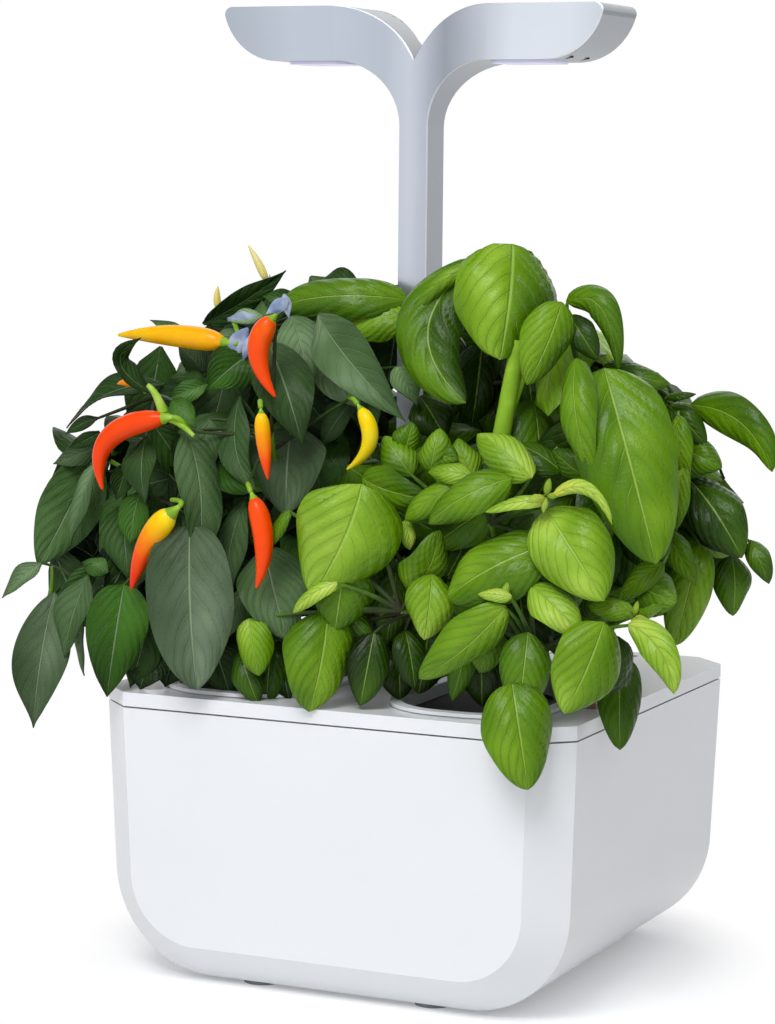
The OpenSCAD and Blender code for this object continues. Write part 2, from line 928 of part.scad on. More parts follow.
module led_board_right() {
  led_board();
}

module led_board_left() {
  mirror([1, 0, 0])
    led_board();
}

module led_chips() {
  color("#f7f2c4")
    for (ix = [-1.5:1:1.5], iy = [-1.5:1:1.5])
      translate([window_x + ix * 6 - chip / 2, window_y + iy * 6 - chip / 2, led_z - chip_t])
        cube([chip, chip, chip_t]);
}

module led_chips_right() {
  led_chips();
}

module led_chips_left() {
  mirror([1, 0, 0])
    led_chips();
}

module diffuser() {
  color("#f1effb")
    translate([window_x, window_y, 0]) {
      translate([0, 0, arm_z - window_bulge])
        round_plate(window_w - 0.4, window_d - 0.4, 5.8, lamp_wall + window_bulge);
      translate([0, 0, arm_z + lamp_wall])
        round_plate(window_w + 1.6, window_d - 0.4, 5.8, 0.8);
    }
}

module diffuser_right() {
  diffuser();
}

module diffuser_left() {
  mirror([1, 0, 0])
    diffuser();
}

module contact_rails() {
  color("#c9a24a")
    for (sx = [-1, 1])
      translate([sx * 2.6 - 0.9, mast_y1 - 0.5, mast_z0])
        cube([1.8, 0.5, rail_h]);
}

module mast_foot() {
  color(dark)
    translate([-mast_w / 2, mast_y0, mast_z0 - mast_foot_t])
      difference() {
        cube([mast_w, mast_d, mast_foot_t]);
        translate([mast_w / 2, mast_d / 2, 1.2])
          cylinder(r = 2, h = mast_foot_t, $fn = fine);
      }
}

module lamp_wires() {
  color("#c0392b")
    for (sx = [-1, 1])
      translate([sx * 1.4, mast_y + 1, mast_z0 + 0.5])
        cylinder(r = 0.8, h = arm_z - mast_z0 - 12, $fn = fine);
}

tub_shell();
foot_pads();
lid_plate();
lid_gasket();
mast_socket();
socket_screws();
contact_brushes();
cable_duct();
inlet_cable();
control_board();
button_switch();
power_jack();
jack_pin();
gauge_guide();
flap_pin();
filler_flap();
float_block();
float_rod();
program_button();
pod_tray_left();
growing_block_left();
pod_cover_left();
wick_left();
chilli_plant();
chilli_fruits();
pod_tray_right();
growing_block_right();
pod_cover_right();
wick_right();
basil_plant();
lamp_shell();
lamp_fascia();
top_cover_left();
top_cover_right();
cover_screws();
heat_spreader_left();
heat_spreader_right();
led_board_left();
led_board_right();
led_chips_left();
led_chips_right();
diffuser_left();
diffuser_right();
contact_rails();
mast_foot();
lamp_wires();
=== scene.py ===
import math
import random

import bmesh
import bpy
from mathutils import Matrix, Vector


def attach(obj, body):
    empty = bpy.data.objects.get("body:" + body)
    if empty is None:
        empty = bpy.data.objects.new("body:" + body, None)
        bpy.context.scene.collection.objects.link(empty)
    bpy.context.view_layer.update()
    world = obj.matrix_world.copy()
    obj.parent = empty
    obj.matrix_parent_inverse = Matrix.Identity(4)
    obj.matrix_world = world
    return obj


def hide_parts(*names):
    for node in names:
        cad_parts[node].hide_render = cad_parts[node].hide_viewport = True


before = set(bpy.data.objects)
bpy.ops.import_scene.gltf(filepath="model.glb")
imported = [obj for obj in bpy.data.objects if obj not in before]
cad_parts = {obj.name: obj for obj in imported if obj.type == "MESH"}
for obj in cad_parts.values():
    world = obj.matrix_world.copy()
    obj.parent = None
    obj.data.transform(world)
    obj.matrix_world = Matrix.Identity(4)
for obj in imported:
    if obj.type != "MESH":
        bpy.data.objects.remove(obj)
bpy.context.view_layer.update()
print("frame loaded")

mm = 0.001
upright = Vector((0, 0, 1))
scene = bpy.context.scene
scene.view_settings.view_transform = "Standard"

# ---- camera

cameraValues = {
    "azimuth": 24.87,
    "elevation": 6.32,
    "roll": 0.55,
    "target": (-15.55, 0, 170.95),  # mm
    "distance": 1178.6,  # mm
    "lens": 107.89,
    "sensor": 36,
    "clipEnd": 20,  # m
    "imageWidth": 775,
    "imageHeight": 1024,
}


def wayTo(values):
    # from the object towards an azimuth, which is 0 at its front, and an elevation
    az, el = math.radians(values["azimuth"]), math.radians(values["elevation"])
    return Vector((math.sin(az) * math.cos(el), -math.cos(az) * math.cos(el), math.sin(el)))


def viewAxes(values):
    az, roll = math.radians(values["azimuth"]), math.radians(values["roll"])
    back = wayTo(values)
    level = Vector((math.cos(az), math.sin(az), 0))
    rise = back.cross(level)
    return level * math.cos(roll) + rise * math.sin(roll), rise * math.cos(roll) - level * math.sin(roll), back


camRight, camUp, camBack = viewAxes(cameraValues)
camPlace = Vector(cameraValues["target"]) + camBack * cameraValues["distance"]
focalPixels = cameraValues["lens"] / cameraValues["sensor"] * cameraValues["imageHeight"]
camData = bpy.data.cameras.new("camera")
camData.lens = cameraValues["lens"]
camData.sensor_width = cameraValues["sensor"]
camData.clip_end = cameraValues["clipEnd"]
camera = bpy.data.objects.new("camera", camData)
scene.collection.objects.link(camera)
camera.matrix_world = Matrix.Translation(camPlace * mm) @ Matrix((camRight, camUp, camBack)).transposed().to_4x4()
scene.camera = camera


def rayThrough(pixel):
    # from the camera through a pixel, one unit along the view
    across = (pixel[0] - cameraValues["imageWidth"] / 2) / focalPixels
    down = (pixel[1] - cameraValues["imageHeight"] / 2) / focalPixels
    return camRight * across - camUp * down - camBack


def seenAt(pixel, depth):
    # the point in mm behind a pixel, on the upright plane y = depth
    ray = rayThrough(pixel)
    return camPlace + ray * ((depth - camPlace.y) / ray.y)


def farFrom(point):
    # distance from the camera along its view, in mm
    return (camPlace - point).dot(camBack)


def pixelOf(point):
    # the pixel that a point in mm is seen at
    away, far = point - camPlace, farFrom(point)
    return (
        cameraValues["imageWidth"] / 2 + focalPixels * away.dot(camRight) / far,
        cameraValues["imageHeight"] / 2 - focalPixels * away.dot(camUp) / far,
    )


# ---- small helpers


def hexColour(text):
    parts = [int(text[i : i + 2], 16) / 255 for i in (1, 3, 5)]
    return tuple(c / 12.92 if c <= 0.04045 else ((c + 0.055) / 1.055) ** 2.4 for c in parts) + (1.0,)


def addNode(tree, kind, settings=None, links=None):
    # a link may name a node, which stands for its first output
    node = tree.nodes.new("ShaderNode" + kind)
    for key, value in (settings or {}).items():
        if isinstance(key, int) or key in node.inputs:
            node.inputs[key].default_value = value
        else:
            setattr(node, key, value)
    for key, source in (links or {}).items():
        tree.links.new(source.outputs[0] if isinstance(source, bpy.types.Node) else source, node.inputs[key])
    return node


def newMaterial(name):
    material = bpy.data.materials.new(name)
    material.use_nodes = True
    material.node_tree.nodes.clear()
    return material, material.node_tree


def finishMaterial(tree, shader):
    addNode(tree, "OutputMaterial", {}, {"Surface": shader})


def setRamp(node, stops):
    ramp = node.color_ramp
    ramp.elements.remove(ramp.elements[-1])
    ramp.elements[0].position = stops[0][0]
    ramp.elements[0].color = hexColour(stops[0][1])
    for place, colour in stops[1:]:
        ramp.elements.new(place).color = hexColour(colour)


def newPiece(name, bm, materials, body, nodes=(), smoothAngle=40):
    mesh = bpy.data.meshes.new(name)
    bm.to_mesh(mesh)
    bm.free()
    for material in materials:
        mesh.materials.append(material)
    for polygon in mesh.polygons:
        polygon.use_smooth = True
    mesh.set_sharp_from_angle(angle=math.radians(smoothAngle))
    piece = bpy.data.objects.new(name, mesh)
    scene.collection.objects.link(piece)
    if body:
        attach(piece, body)
    if nodes:
        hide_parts(*nodes)
    return piece


def addModifier(piece, kind, settings):
    modifier = piece.modifiers.new(kind.lower(), kind)
    for key, value in settings.items():
        setattr(modifier, key, value)


# ---- materials of the housing

# each: colour, its shade, roughness, and the width and depth of the fine relief in mm
plasticFinishes = {
    # gloss moulded ABS: clean highlights over a very faint orange peel
    "glossAbsWhite": ("#eef0f2", "#e9ebee", 0.26, 2.2, 0.004),
    # satin moulded ABS of the pods and small fittings
    "satinAbsWhite": ("#e9ebed", "#e0e2e5", 0.42, 1.2, 0.008),
    # grey satin ABS of the lamp's upper covers
    "coverAbsGrey": ("#a3a6aa", "#9da0a4", 0.45, 1.2, 0.01),
    # black spark-eroded ABS
    "blackAbs": ("#1a1b1d", "#121314", 0.5, 0.9, 0.02),
    # grey thermoplastic elastomer, dull
    "greyElastomer": ("#85898e", "#787c81", 0.75, 0.8, 0.02),
    # grey rubber feet, dull
    "greyRubber": ("#8b8e91", "#7e8184", 0.8, 0.8, 0.03),
    # black rubber of the cable
    "blackRubber": ("#1c1c1e", "#141415", 0.8, 0.8, 0.03),
    # red gloss ABS of the level marker
    "markerRed": ("#c3301f", "#b32717", 0.3, 1.5, 0.01),
    # green solder mask on glass fibre board
    "solderMaskGreen": ("#1f5a2b", "#184a22", 0.35, 1.0, 0.01),
    # white solder mask
    "solderMaskWhite": ("#e8e9ea", "#dcdde0", 0.4, 1.0, 0.01),
    # yellow phosphor in clear silicone
    "ledPhosphor": ("#f0e3a0", "#e6d380", 0.25, 1.0, 0.01),
    # red silicone cable sheath
    "redSheath": ("#9c241a", "#861c14", 0.5, 1.0, 0.01),
    # closed-cell polyethylene foam of the float
    "whiteFoam": ("#eef0ef", "#dfe2e1", 0.8, 1.4, 0.06),
}


def plasticMaterial(name, values):
    colour, shade, roughness, peelWidth, peelDepth = values
    material, tree = newMaterial(name)
    place = addNode(tree, "TexCoord").outputs["Object"]
    cloud = addNode(tree, "TexNoise", {"Scale": 1 / (40 * mm), "Detail": 3.0}, {"Vector": place})
    blend = addNode(tree, "Mix", {"data_type": "RGBA", 6: hexColour(colour), 7: hexColour(shade)}, {0: cloud})
    peel = addNode(tree, "TexNoise", {"Scale": 1 / (peelWidth * mm), "Detail": 2.0}, {"Vector": place})
    bump = addNode(tree, "Bump", {"Strength": 0.5, "Distance": peelDepth * mm}, {"Height": peel})
    shader = addNode(
        tree, "BsdfPrincipled", {"Roughness": roughness, "IOR": 1.5}, {"Base Color": blend.outputs[2], "Normal": bump}
    )
    finishMaterial(tree, shader)
    return material


metalFinishes = {
    # silver metallic paint over ABS: satin and smooth, its flake hardly seen
    "silverPaint": {
        "colour": "#d4dae4", "shade": "#d1d7e1", "metallic": 0.85, "roughness": 0.3, "grain": 0.5,
        "wave": 45, "swing": 3.0,
        # painted sheen and shade: the paint is lighter on the right arm and darker on the left arm and round the fork,
        # from x = -80 to 80 mm
        "across": ((0.0, "#b8bfca"), (0.2, "#cbd3de"), (0.43, "#bcc3ce"), (0.49, "#d2d9e3"), (0.53, "#c6ccd6"),
                   (0.585, "#a6acb6"), (0.65, "#c6ccd6"), (0.76, "#eef3fa"), (0.9, "#ecf1f8"), (1.0, "#d6dce5")),
    },
    # darker silver paint of the lamp's body
    "bodyPaint": {"colour": "#9fa3a9", "shade": "#9b9fa5", "metallic": 0.8, "roughness": 0.34, "grain": 0.5},
    # plain extruded aluminium
    "extrudedAluminium": {"colour": "#c9ccd0", "shade": "#bfc2c6", "metallic": 1.0, "roughness": 0.35, "grain": 0.6},
    # drawn brass strip
    "brassStrip": {"colour": "#d0a95a", "shade": "#c19a4a", "metallic": 1.0, "roughness": 0.28, "grain": 0.5},
    # ground stainless rod
    "stainlessRod": {"colour": "#c4c6c8", "shade": "#b8babd", "metallic": 1.0, "roughness": 0.25, "grain": 0.5},
    # black oxide screw
    "blackOxide": {"colour": "#1d1e20", "shade": "#151617", "metallic": 0.8, "roughness": 0.45, "grain": 0.5},
}


def metalMaterial(name, values):
    material, tree = newMaterial(name)
    place = addNode(tree, "TexCoord").outputs["Object"]
    # flake and grain are finer than this on the real thing, and are drawn coarse enough to show
    flake = addNode(tree, "TexNoise", {"Scale": 1 / (values["grain"] * mm), "Detail": 4.0}, {"Vector": place})
    spread = addNode(tree, "MapRange", {"From Min": 0.35, "From Max": 0.65}, {"Value": flake})
    blend = addNode(
        tree, "Mix", {"data_type": "RGBA", 6: hexColour(values["colour"]), 7: hexColour(values["shade"])}, {0: spread}
    )
    colour = blend.outputs[2]
    # painted sheen and shade laid along x over the paint's own colour, where it is given
    if "across" in values:
        split = addNode(tree, "SeparateXYZ", {}, {0: place})
        share = addNode(tree, "MapRange", {"From Min": -80 * mm, "From Max": 80 * mm}, {"Value": split.outputs["X"]})
        ramp = addNode(tree, "ValToRGB", {}, {"Fac": share})
        setRamp(ramp, values["across"])
        paintedSheenTint = addNode(tree, "Mix", {"data_type": "RGBA", 0: 0.85}, {6: colour, 7: ramp})
        colour = paintedSheenTint.outputs[2]
    rough = addNode(
        tree, "MapRange", {"To Min": values["roughness"] - 0.04, "To Max": values["roughness"] + 0.04}, {"Value": flake}
    )
    # a moulded face is never quite flat, so its sheen comes and goes along it
    sway = addNode(tree, "TexNoise", {"Scale": 1 / (values.get("wave", 30) * mm), "Detail": 0.0}, {"Vector": place})
    slow = addNode(tree, "Bump", {"Strength": 1.0, "Distance": values.get("swing", 0.1) * mm}, {"Height": sway})
    bump = addNode(tree, "Bump", {"Strength": 0.15, "Distance": 0.01 * mm}, {"Height": flake, "Normal": slow})
    shader = addNode(
        tree, "BsdfPrincipled", {"Metallic": values["metallic"]},
        {"Base Color": colour, "Roughness": rough, "Normal": bump},
    )
    finishMaterial(tree, shader)
    return material


windowValues = {"colour": "#d5d5ec", "glow": "#c9c7ea", "strength": 0.34}


def opalMaterial(values):
    # opal acrylic, lit from behind by violet-white diodes
    material, tree = newMaterial("opalAcrylicLit")
    place = addNode(tree, "TexCoord").outputs["Object"]
    cloud = addNode(tree, "TexNoise", {"Scale": 1 / (9 * mm), "Detail": 1.0}, {"Vector": place})
    blend = addNode(
        tree, "Mix", {"data_type": "RGBA", 6: hexColour(values["colour"]), 7: hexColour(values["glow"])}, {0: cloud}
    )
    shader = addNode(
        tree, "BsdfPrincipled", {"Roughness": 0.35, "IOR": 1.49, "Emission Strength": values["strength"]},
        {"Base Color": blend.outputs[2], "Emission Color": blend.outputs[2]},
    )
    finishMaterial(tree, shader)
    return material


def clearMaterial():
    # clear moulded polycarbonate of the gauge
    material, tree = newMaterial("clearPolycarbonate")
    shader = addNode(
        tree, "BsdfPrincipled",
        {"Base Color": hexColour("#f2f7f8"), "Roughness": 0.08, "IOR": 1.58, "Transmission Weight": 0.85},
    )
    finishMaterial(tree, shader)
    return material


fibreFinishes = {
    # moist peat and bark fibre, pressed
    "growingPeat": {"colour": "#3b2a1d", "shade": "#221710", "grain": 3.0, "depth": 1.0},
    # woven cotton wick
    "cottonWick": {"colour": "#e6e2d6", "shade": "#cfcabb", "grain": 1.5, "depth": 0.4},
    # black felt over the growing block
    "blackFelt": {"colour": "#2a2b28", "shade": "#1a1b19", "grain": 1.0, "depth": 0.3},
}


def fibreMaterial(name, values):
    material, tree = newMaterial(name)
    place = addNode(tree, "TexCoord").outputs["Object"]
    tangle = addNode(
        tree, "TexNoise", {"Scale": 1 / (values["grain"] * mm), "Detail": 8.0, "Distortion": 1.5}, {"Vector": place}
    )
    blend = addNode(
        tree, "Mix", {"data_type": "RGBA", 6: hexColour(values["shade"]), 7: hexColour(values["colour"])}, {0: tangle}
    )
    bump = addNode(tree, "Bump", {"Strength": 0.9, "Distance": values["depth"] * mm}, {"Height": tangle})
    shader = addNode(tree, "BsdfPrincipled", {"Roughness": 0.9}, {"Base Color": blend.outputs[2], "Normal": bump})
    finishMaterial(tree, shader)
    return material


finishes = {"opalAcrylicLit": opalMaterial(windowValues), "clearPolycarbonate": clearMaterial()}
for makeMaterial, table in (
    (plasticMaterial, plasticFinishes), (metalMaterial, metalFinishes), (fibreMaterial, fibreFinishes),
):
    finishes.update({name: makeMaterial(name, values) for name, values in table.items()})
print("housing materials made")

# ---- housing pieces that keep the solid's own form and get rounded edges

# each: its finish, the body it rides on and the width of its rounded edges in mm
refinedPieces = {
    "tub_shell": ("glossAbsWhite", "tub", 1.8),
    "lid_plate": ("glossAbsWhite", "lid", 0.6),
    "filler_flap": ("glossAbsWhite", "flap", 0.4),
    "mast_socket": ("glossAbsWhite", "lid", 0.4),
    "pod_tray_left": ("satinAbsWhite", "pod_left", 0.4),
    "pod_tray_right": ("satinAbsWhite", "pod_right", 0.4),
    "program_button": ("satinAbsWhite", "button", 0.4),
    "lamp_fascia": ("silverPaint", "lamp", 0.8),
    "lamp_shell": ("bodyPaint", "lamp", 0.6),
    "top_cover_left": ("coverAbsGrey", "lamp", 0.3),
    "top_cover_right": ("coverAbsGrey", "lamp", 0.3),
    "diffuser_left": ("opalAcrylicLit", "lamp", 0.5),
    "diffuser_right": ("opalAcrylicLit", "lamp", 0.5),
}
refineValues = {"mergeWithin": 0.004, "flatWithin": 0.5, "smoothAngle": 30, "edgeAngle": 38, "segments": 3}


def refine(node, finish, body, edge):
    bm = bmesh.new()
    bm.from_mesh(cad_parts[node].data)
    bmesh.ops.remove_doubles(bm, verts=bm.verts, dist=refineValues["mergeWithin"] * mm)
    flat = math.radians(refineValues["flatWithin"])
    bmesh.ops.dissolve_limit(bm, angle_limit=flat, verts=bm.verts, edges=bm.edges)
    first, *words = node.split("_")
    name = first + "".join(word.capitalize() for word in words)
    piece = newPiece(name, bm, [finishes[finish]], body, [node], refineValues["smoothAngle"])
    addModifier(
        piece, "BEVEL",
        {
            "width": edge * mm, "segments": refineValues["segments"], "limit_method": "ANGLE",
            "angle_limit": math.radians(refineValues["edgeAngle"]), "harden_normals": True,
            "use_clamp_overlap": True,
        },
    )


for node, values in refinedPieces.items():
    refine(node, *values)

# nodes that are shown as they are, by their finish
keptNodes = {
    "satinAbsWhite": ["cable_duct"],
    "blackAbs": ["button_switch", "power_jack", "mast_foot"],
    "greyElastomer": ["lid_gasket"],
    "greyRubber": ["foot_pads"],
    "blackRubber": ["inlet_cable"],
    "markerRed": ["float_rod"],
    "solderMaskGreen": ["control_board"],
    "solderMaskWhite": ["led_board_left", "led_board_right"],
    "ledPhosphor": ["led_chips_left", "led_chips_right"],
    "redSheath": ["lamp_wires"],
    "whiteFoam": ["float_block"],
    "clearPolycarbonate": ["gauge_guide"],
    "extrudedAluminium": ["heat_spreader_left", "heat_spreader_right"],
    "brassStrip": ["contact_brushes", "contact_rails"],
    "stainlessRod": ["jack_pin", "flap_pin"],
    "blackOxide": ["socket_screws", "cover_screws"],
    "growingPeat": ["growing_block_left", "growing_block_right"],
    "cottonWick": ["wick_left", "wick_right"],
    "blackFelt": ["pod_cover_left", "pod_cover_right"],
}

for finish, nodes in keptNodes.items():
    for node in nodes:
        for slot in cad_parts[node].material_slots:
            slot.material = finishes[finish]
print("housing pieces finished")

# ---- plant materials

leafKinds = {
    "chilli": {
        "rise": 0.9, "fall": 1.25, "veins": 7.0, "slant": 0.8, "pucker": 0.08, "cup": 0.12, "fold": 0.16, "wave": 0.13,
        "ribWidth": 0.025, "veinWidth": 0.06, "arch": (0.06, 0.14), "stalk": 0.8, "stalkTone": 0.2,
        # the grey-green upper stops of this ramp are partly the leaf's own colour and partly painted sheen
        "ramp": ((0.0, "#0e1807"), (0.18, "#1c2f10"), (0.36, "#304626"), (0.5, "#44563c"), (0.6, "#526449"),
                 (0.72, "#6a7d63"), (0.85, "#8aa17c"), (1.0, "#b2c4ac")),
        "freshRamp": ((0.0, "#0d1d03"), (0.18, "#1d3a05"), (0.36, "#2d560b"), (0.5, "#3b6a16"), (0.66, "#52822c"),
                      (0.84, "#80a858"), (1.0, "#aecb88")),
        "ribColour": "#93a884", "backColour": "#7d9472", "roughness": 0.4, "coat": 0.06,
    },
    "basil": {
        "rise": 0.42, "fall": 0.64, "veins": 6.0, "slant": 0.9, "pucker": 0.09, "cup": 0.5, "fold": 0.05, "wave": 0.1,
        "ribWidth": 0.022, "veinWidth": 0.05, "arch": (0.1, 0.18), "stalk": 0.95, "stalkTone": 0.45,
        "ramp": ((0.0, "#0f1e02"), (0.2, "#234202"), (0.4, "#3d6403"), (0.55, "#568006"), (0.68, "#709a18"),
                 (0.8, "#90b838"), (0.9, "#b0cc52"), (1.0, "#d2d84c")),
        "freshRamp": ((0.0, "#162803"), (0.2, "#315002"), (0.4, "#4e7603"), (0.55, "#6a9408"), (0.68, "#86ae20"),
                      (0.8, "#a4c63a"), (0.9, "#c0d856"), (1.0, "#dfe45c")),
        "ribColour": "#a9cc5c", "backColour": "#8fae62", "roughness": 0.3, "coat": 0.18,
    },
}


# what both kinds of leaf share: widths and depths in mm, the rest as parts of the tone or of the bump
leafSkin = {
    "waverWidth": 9, "waver": 0.09, "patchWidth": 18, "patch": 0.07, "between": 0.05, "rim": -0.12, "backShare": 0.4,
    "netWidth": 1.7, "netDepth": 0.15, "swell": 0.9, "bump": 0.85, "depth": 0.55, "smoother": -0.05, "rougher": 0.12,
    "backRougher": 0.2, "specular": 0.12, "coatRoughness": 0.2, "ribShare": 0.55, "veinPart": 0.42,
}


def leafMaterial(name, values, back):
    # living leaf: waxy skin over green tissue, veins paler and sunk below it
    skin = leafSkin
    material, tree = newMaterial(name)
    place = addNode(tree, "TexCoord").outputs["Object"]
    along = addNode(tree, "UVMap", {"uv_map": "leafMap"})
    split = addNode(tree, "SeparateXYZ", {}, {0: along})
    middle = addNode(tree, "Math", {"operation": "SUBTRACT", 1: 0.5}, {0: split.outputs["Y"]})
    side = addNode(tree, "Math", {"operation": "ABSOLUTE"}, {0: middle})
    across = addNode(tree, "Math", {"operation": "MULTIPLY", 1: 2.0}, {0: side})
    waver = addNode(tree, "TexNoise", {"Scale": 1 / (skin["waverWidth"] * mm), "Detail": 1.0}, {"Vector": place})
    bent = addNode(tree, "Math", {"operation": "MULTIPLY_ADD", 1: skin["waver"]}, {0: waver, 2: split.outputs["X"]})
    phase = addNode(tree, "Math", {"operation": "MULTIPLY", 1: values["veins"]}, {0: bent})
    near = addNode(tree, "Math", {"operation": "PINGPONG", 1: 0.5}, {0: phase})
    vein = addNode(
        tree, "MapRange",
        {"interpolation_type": "SMOOTHSTEP", "From Min": values["veinWidth"], "From Max": 0.0,
         "To Max": skin["veinPart"]},
        {"Value": near},
    )
    rib = addNode(
        tree, "MapRange",
        {"interpolation_type": "SMOOTHSTEP", "From Min": values["ribWidth"] * 2, "From Max": values["ribWidth"] * 0.4},
        {"Value": across},
    )
    lines = addNode(tree, "Math", {"operation": "MAXIMUM"}, {0: vein, 1: rib})
    tone = addNode(tree, "Attribute", {"attribute_name": "tone"})
    patch = addNode(tree, "TexNoise", {"Scale": 1 / (skin["patchWidth"] * mm), "Detail": 1.0}, {"Vector": place})
    shift = addNode(
        tree, "MapRange", {"From Min": 0.3, "From Max": 0.7, "To Min": -skin["patch"], "To Max": skin["patch"]},
        {"Value": patch},
    )
    # painted sheen and shade: the swollen tissue between veins is painted paler, as if it caught the light, and the rim
    # is painted darker, as if shaded
    between = addNode(tree, "Math", {"operation": "MULTIPLY", 1: skin["between"]}, {0: near})
    rim = addNode(tree, "Math", {"operation": "MULTIPLY"}, {0: across, 1: across})
    paintedSheenAndShade = addNode(tree, "Math", {"operation": "MULTIPLY_ADD", 1: skin["rim"]}, {0: rim, 2: between})
    shifted = addNode(tree, "Math", {"operation": "ADD"}, {0: tone.outputs["Fac"], 1: shift})
    level = addNode(tree, "Math", {"operation": "ADD"}, {0: shifted, 1: paintedSheenAndShade})
    ramp = addNode(tree, "ValToRGB", {}, {"Fac": level})
    setRamp(ramp, values["ramp"])
    # young leaves are brighter and yellower than old ones
    young = addNode(tree, "ValToRGB", {}, {"Fac": level})
    setRamp(young, values["freshRamp"])
    fresh = addNode(tree, "Attribute", {"attribute_name": "fresh"})
    tissue = addNode(tree, "Mix", {"data_type": "RGBA"}, {0: fresh.outputs["Fac"], 6: ramp, 7: young})
    share = addNode(tree, "Math", {"operation": "MULTIPLY", 1: skin["ribShare"]}, {0: lines})
    ribbed = addNode(
        tree, "Mix", {"data_type": "RGBA", 7: hexColour(values["ribColour"])}, {0: share, 6: tissue.outputs[2]}
    )
    colour = ribbed.outputs[2]
    if back:
        pale = addNode(
            tree, "Mix", {"data_type": "RGBA", 0: skin["backShare"], 7: hexColour(values["backColour"])}, {6: colour}
        )
        colour = pale.outputs[2]
    # the fine net of veins
    net = addNode(
        tree, "TexVoronoi", {"feature": "DISTANCE_TO_EDGE", "Scale": 1 / (skin["netWidth"] * mm)}, {"Vector": place}
    )
    netDepth = addNode(tree, "MapRange", {"From Min": 0.0, "From Max": 0.2, "To Max": skin["netDepth"]}, {"Value": net})
    swell = addNode(tree, "Math", {"operation": "MULTIPLY_ADD", 1: skin["swell"]}, {0: near, 2: netDepth})
    height = addNode(tree, "Math", {"operation": "SUBTRACT"}, {0: swell, 1: lines})
    bump = addNode(
        tree, "Bump", {"Strength": skin["bump"], "Distance": skin["depth"] * mm, "invert": back}, {"Height": height}
    )
    base = values["roughness"] + skin["backRougher"] * back
    rough = addNode(
        tree, "MapRange", {"To Min": base + skin["smoother"], "To Max": base + skin["rougher"]}, {"Value": patch}
    )
    shader = addNode(
        tree, "BsdfPrincipled",
        {"Specular IOR Level": skin["specular"], "Coat Weight": 0.0 if back else values["coat"],
         "Coat Roughness": skin["coatRoughness"]},
        {"Base Color": colour, "Roughness": rough, "Normal": bump},
    )
    finishMaterial(tree, shader)
    return material


leafMaterials = {
    kind: [leafMaterial(kind + "LeafUpper", values, False), leafMaterial(kind + "LeafUnder", values, True)]
    for kind, values in leafKinds.items()
}


def skinMaterial(name, stops, roughness, coat, blotch):
    # plant skin whose colour follows the piece's own ripeness from base to tip
    material, tree = newMaterial(name)
    place = addNode(tree, "TexCoord").outputs["Object"]
    ripe = addNode(tree, "Attribute", {"attribute_name": "tone"})
    patch = addNode(tree, "TexNoise", {"Scale": 1 / (6 * mm), "Detail": 2.0}, {"Vector": place})
    shift = addNode(
        tree, "MapRange", {"From Min": 0.3, "From Max": 0.7, "To Min": -blotch, "To Max": blotch}, {"Value": patch}
    )
    level = addNode(tree, "Math", {"operation": "ADD"}, {0: ripe.outputs["Fac"], 1: shift})
    ramp = addNode(tree, "ValToRGB", {}, {"Fac": level})
    setRamp(ramp, stops)
    bump = addNode(tree, "Bump", {"Strength": 0.25, "Distance": 0.2 * mm}, {"Height": patch})
    shader = addNode(
        tree, "BsdfPrincipled",
        {"Roughness": roughness, "Specular IOR Level": 0.18, "Coat Weight": coat, "Coat Roughness": 0.15},
        {"Base Color": ramp, "Normal": bump},
    )
    finishMaterial(tree, shader)
    return material


# ripe chilli skin: thin, waxy and glossy
fruitSkin = skinMaterial(
    "chilliSkin",
    ((0.0, "#e8da92"), (0.12, "#ead65c"), (0.25, "#fcdc00"), (0.42, "#fab200"), (0.58, "#f88800"), (0.76, "#fb5000"),
     (1.0, "#f23000")),
    0.25, 0.06, 0.03,
)
# faded petals, thin and matt; their bluish colour is painted reflection of the lamp's violet light
petalSkinPaintedLampLight = skinMaterial("fadedPetalPaintedLampLight", ((0.0, "#54628a"), (0.5, "#8696b2"), (1.0, "#c6ced6")), 0.6, 0.0, 0.3)
# green stems and leaf stalks, slightly ribbed, paler where young; the darker inner ends of the stalks are painted shade
stemSkin = skinMaterial(
    "greenStem",
    ((0.0, "#2c2a18"), (0.2, "#2c4418"), (0.5, "#5f8a28"), (0.8, "#8db92a"), (1.0, "#c2d870")),
    0.5, 0.05, 0.08,
)
print("plant materials made")

# ---- shapes of leaves and stems

# what all leaves share, in mm where it is a length
leafForm = {
    "thick": 0.45, "baseHalf": 0.45, "tipHalf": 0.12, "veinBow": 1.2, "roll": 0.3, "moreFold": 0.2,
    # the first two are painted shade along a leaf and painted light across one half of it
    "paintedEndShade": 0.22, "paintedSideLight": 0.07, "toneEdge": 5, "rippleTurns": 7.0, "rippleSeed": 1.7, "rippleSide": 1.3,
    "frontLimit": -110,  # how far forward a leaf's arch may reach
}


def newPlantMesh():
    bm = bmesh.new()
    bm.loops.layers.uv.new("leafMap")
    bm.verts.layers.float.new("tone")
    bm.verts.layers.float.new("fresh")
    return bm


def leafShare(u, rise, fall):
    peak = rise / (rise + fall)
    return (max(u, 0.0) / peak) ** rise * (max(1 - u, 0.0) / (1 - peak)) ** fall


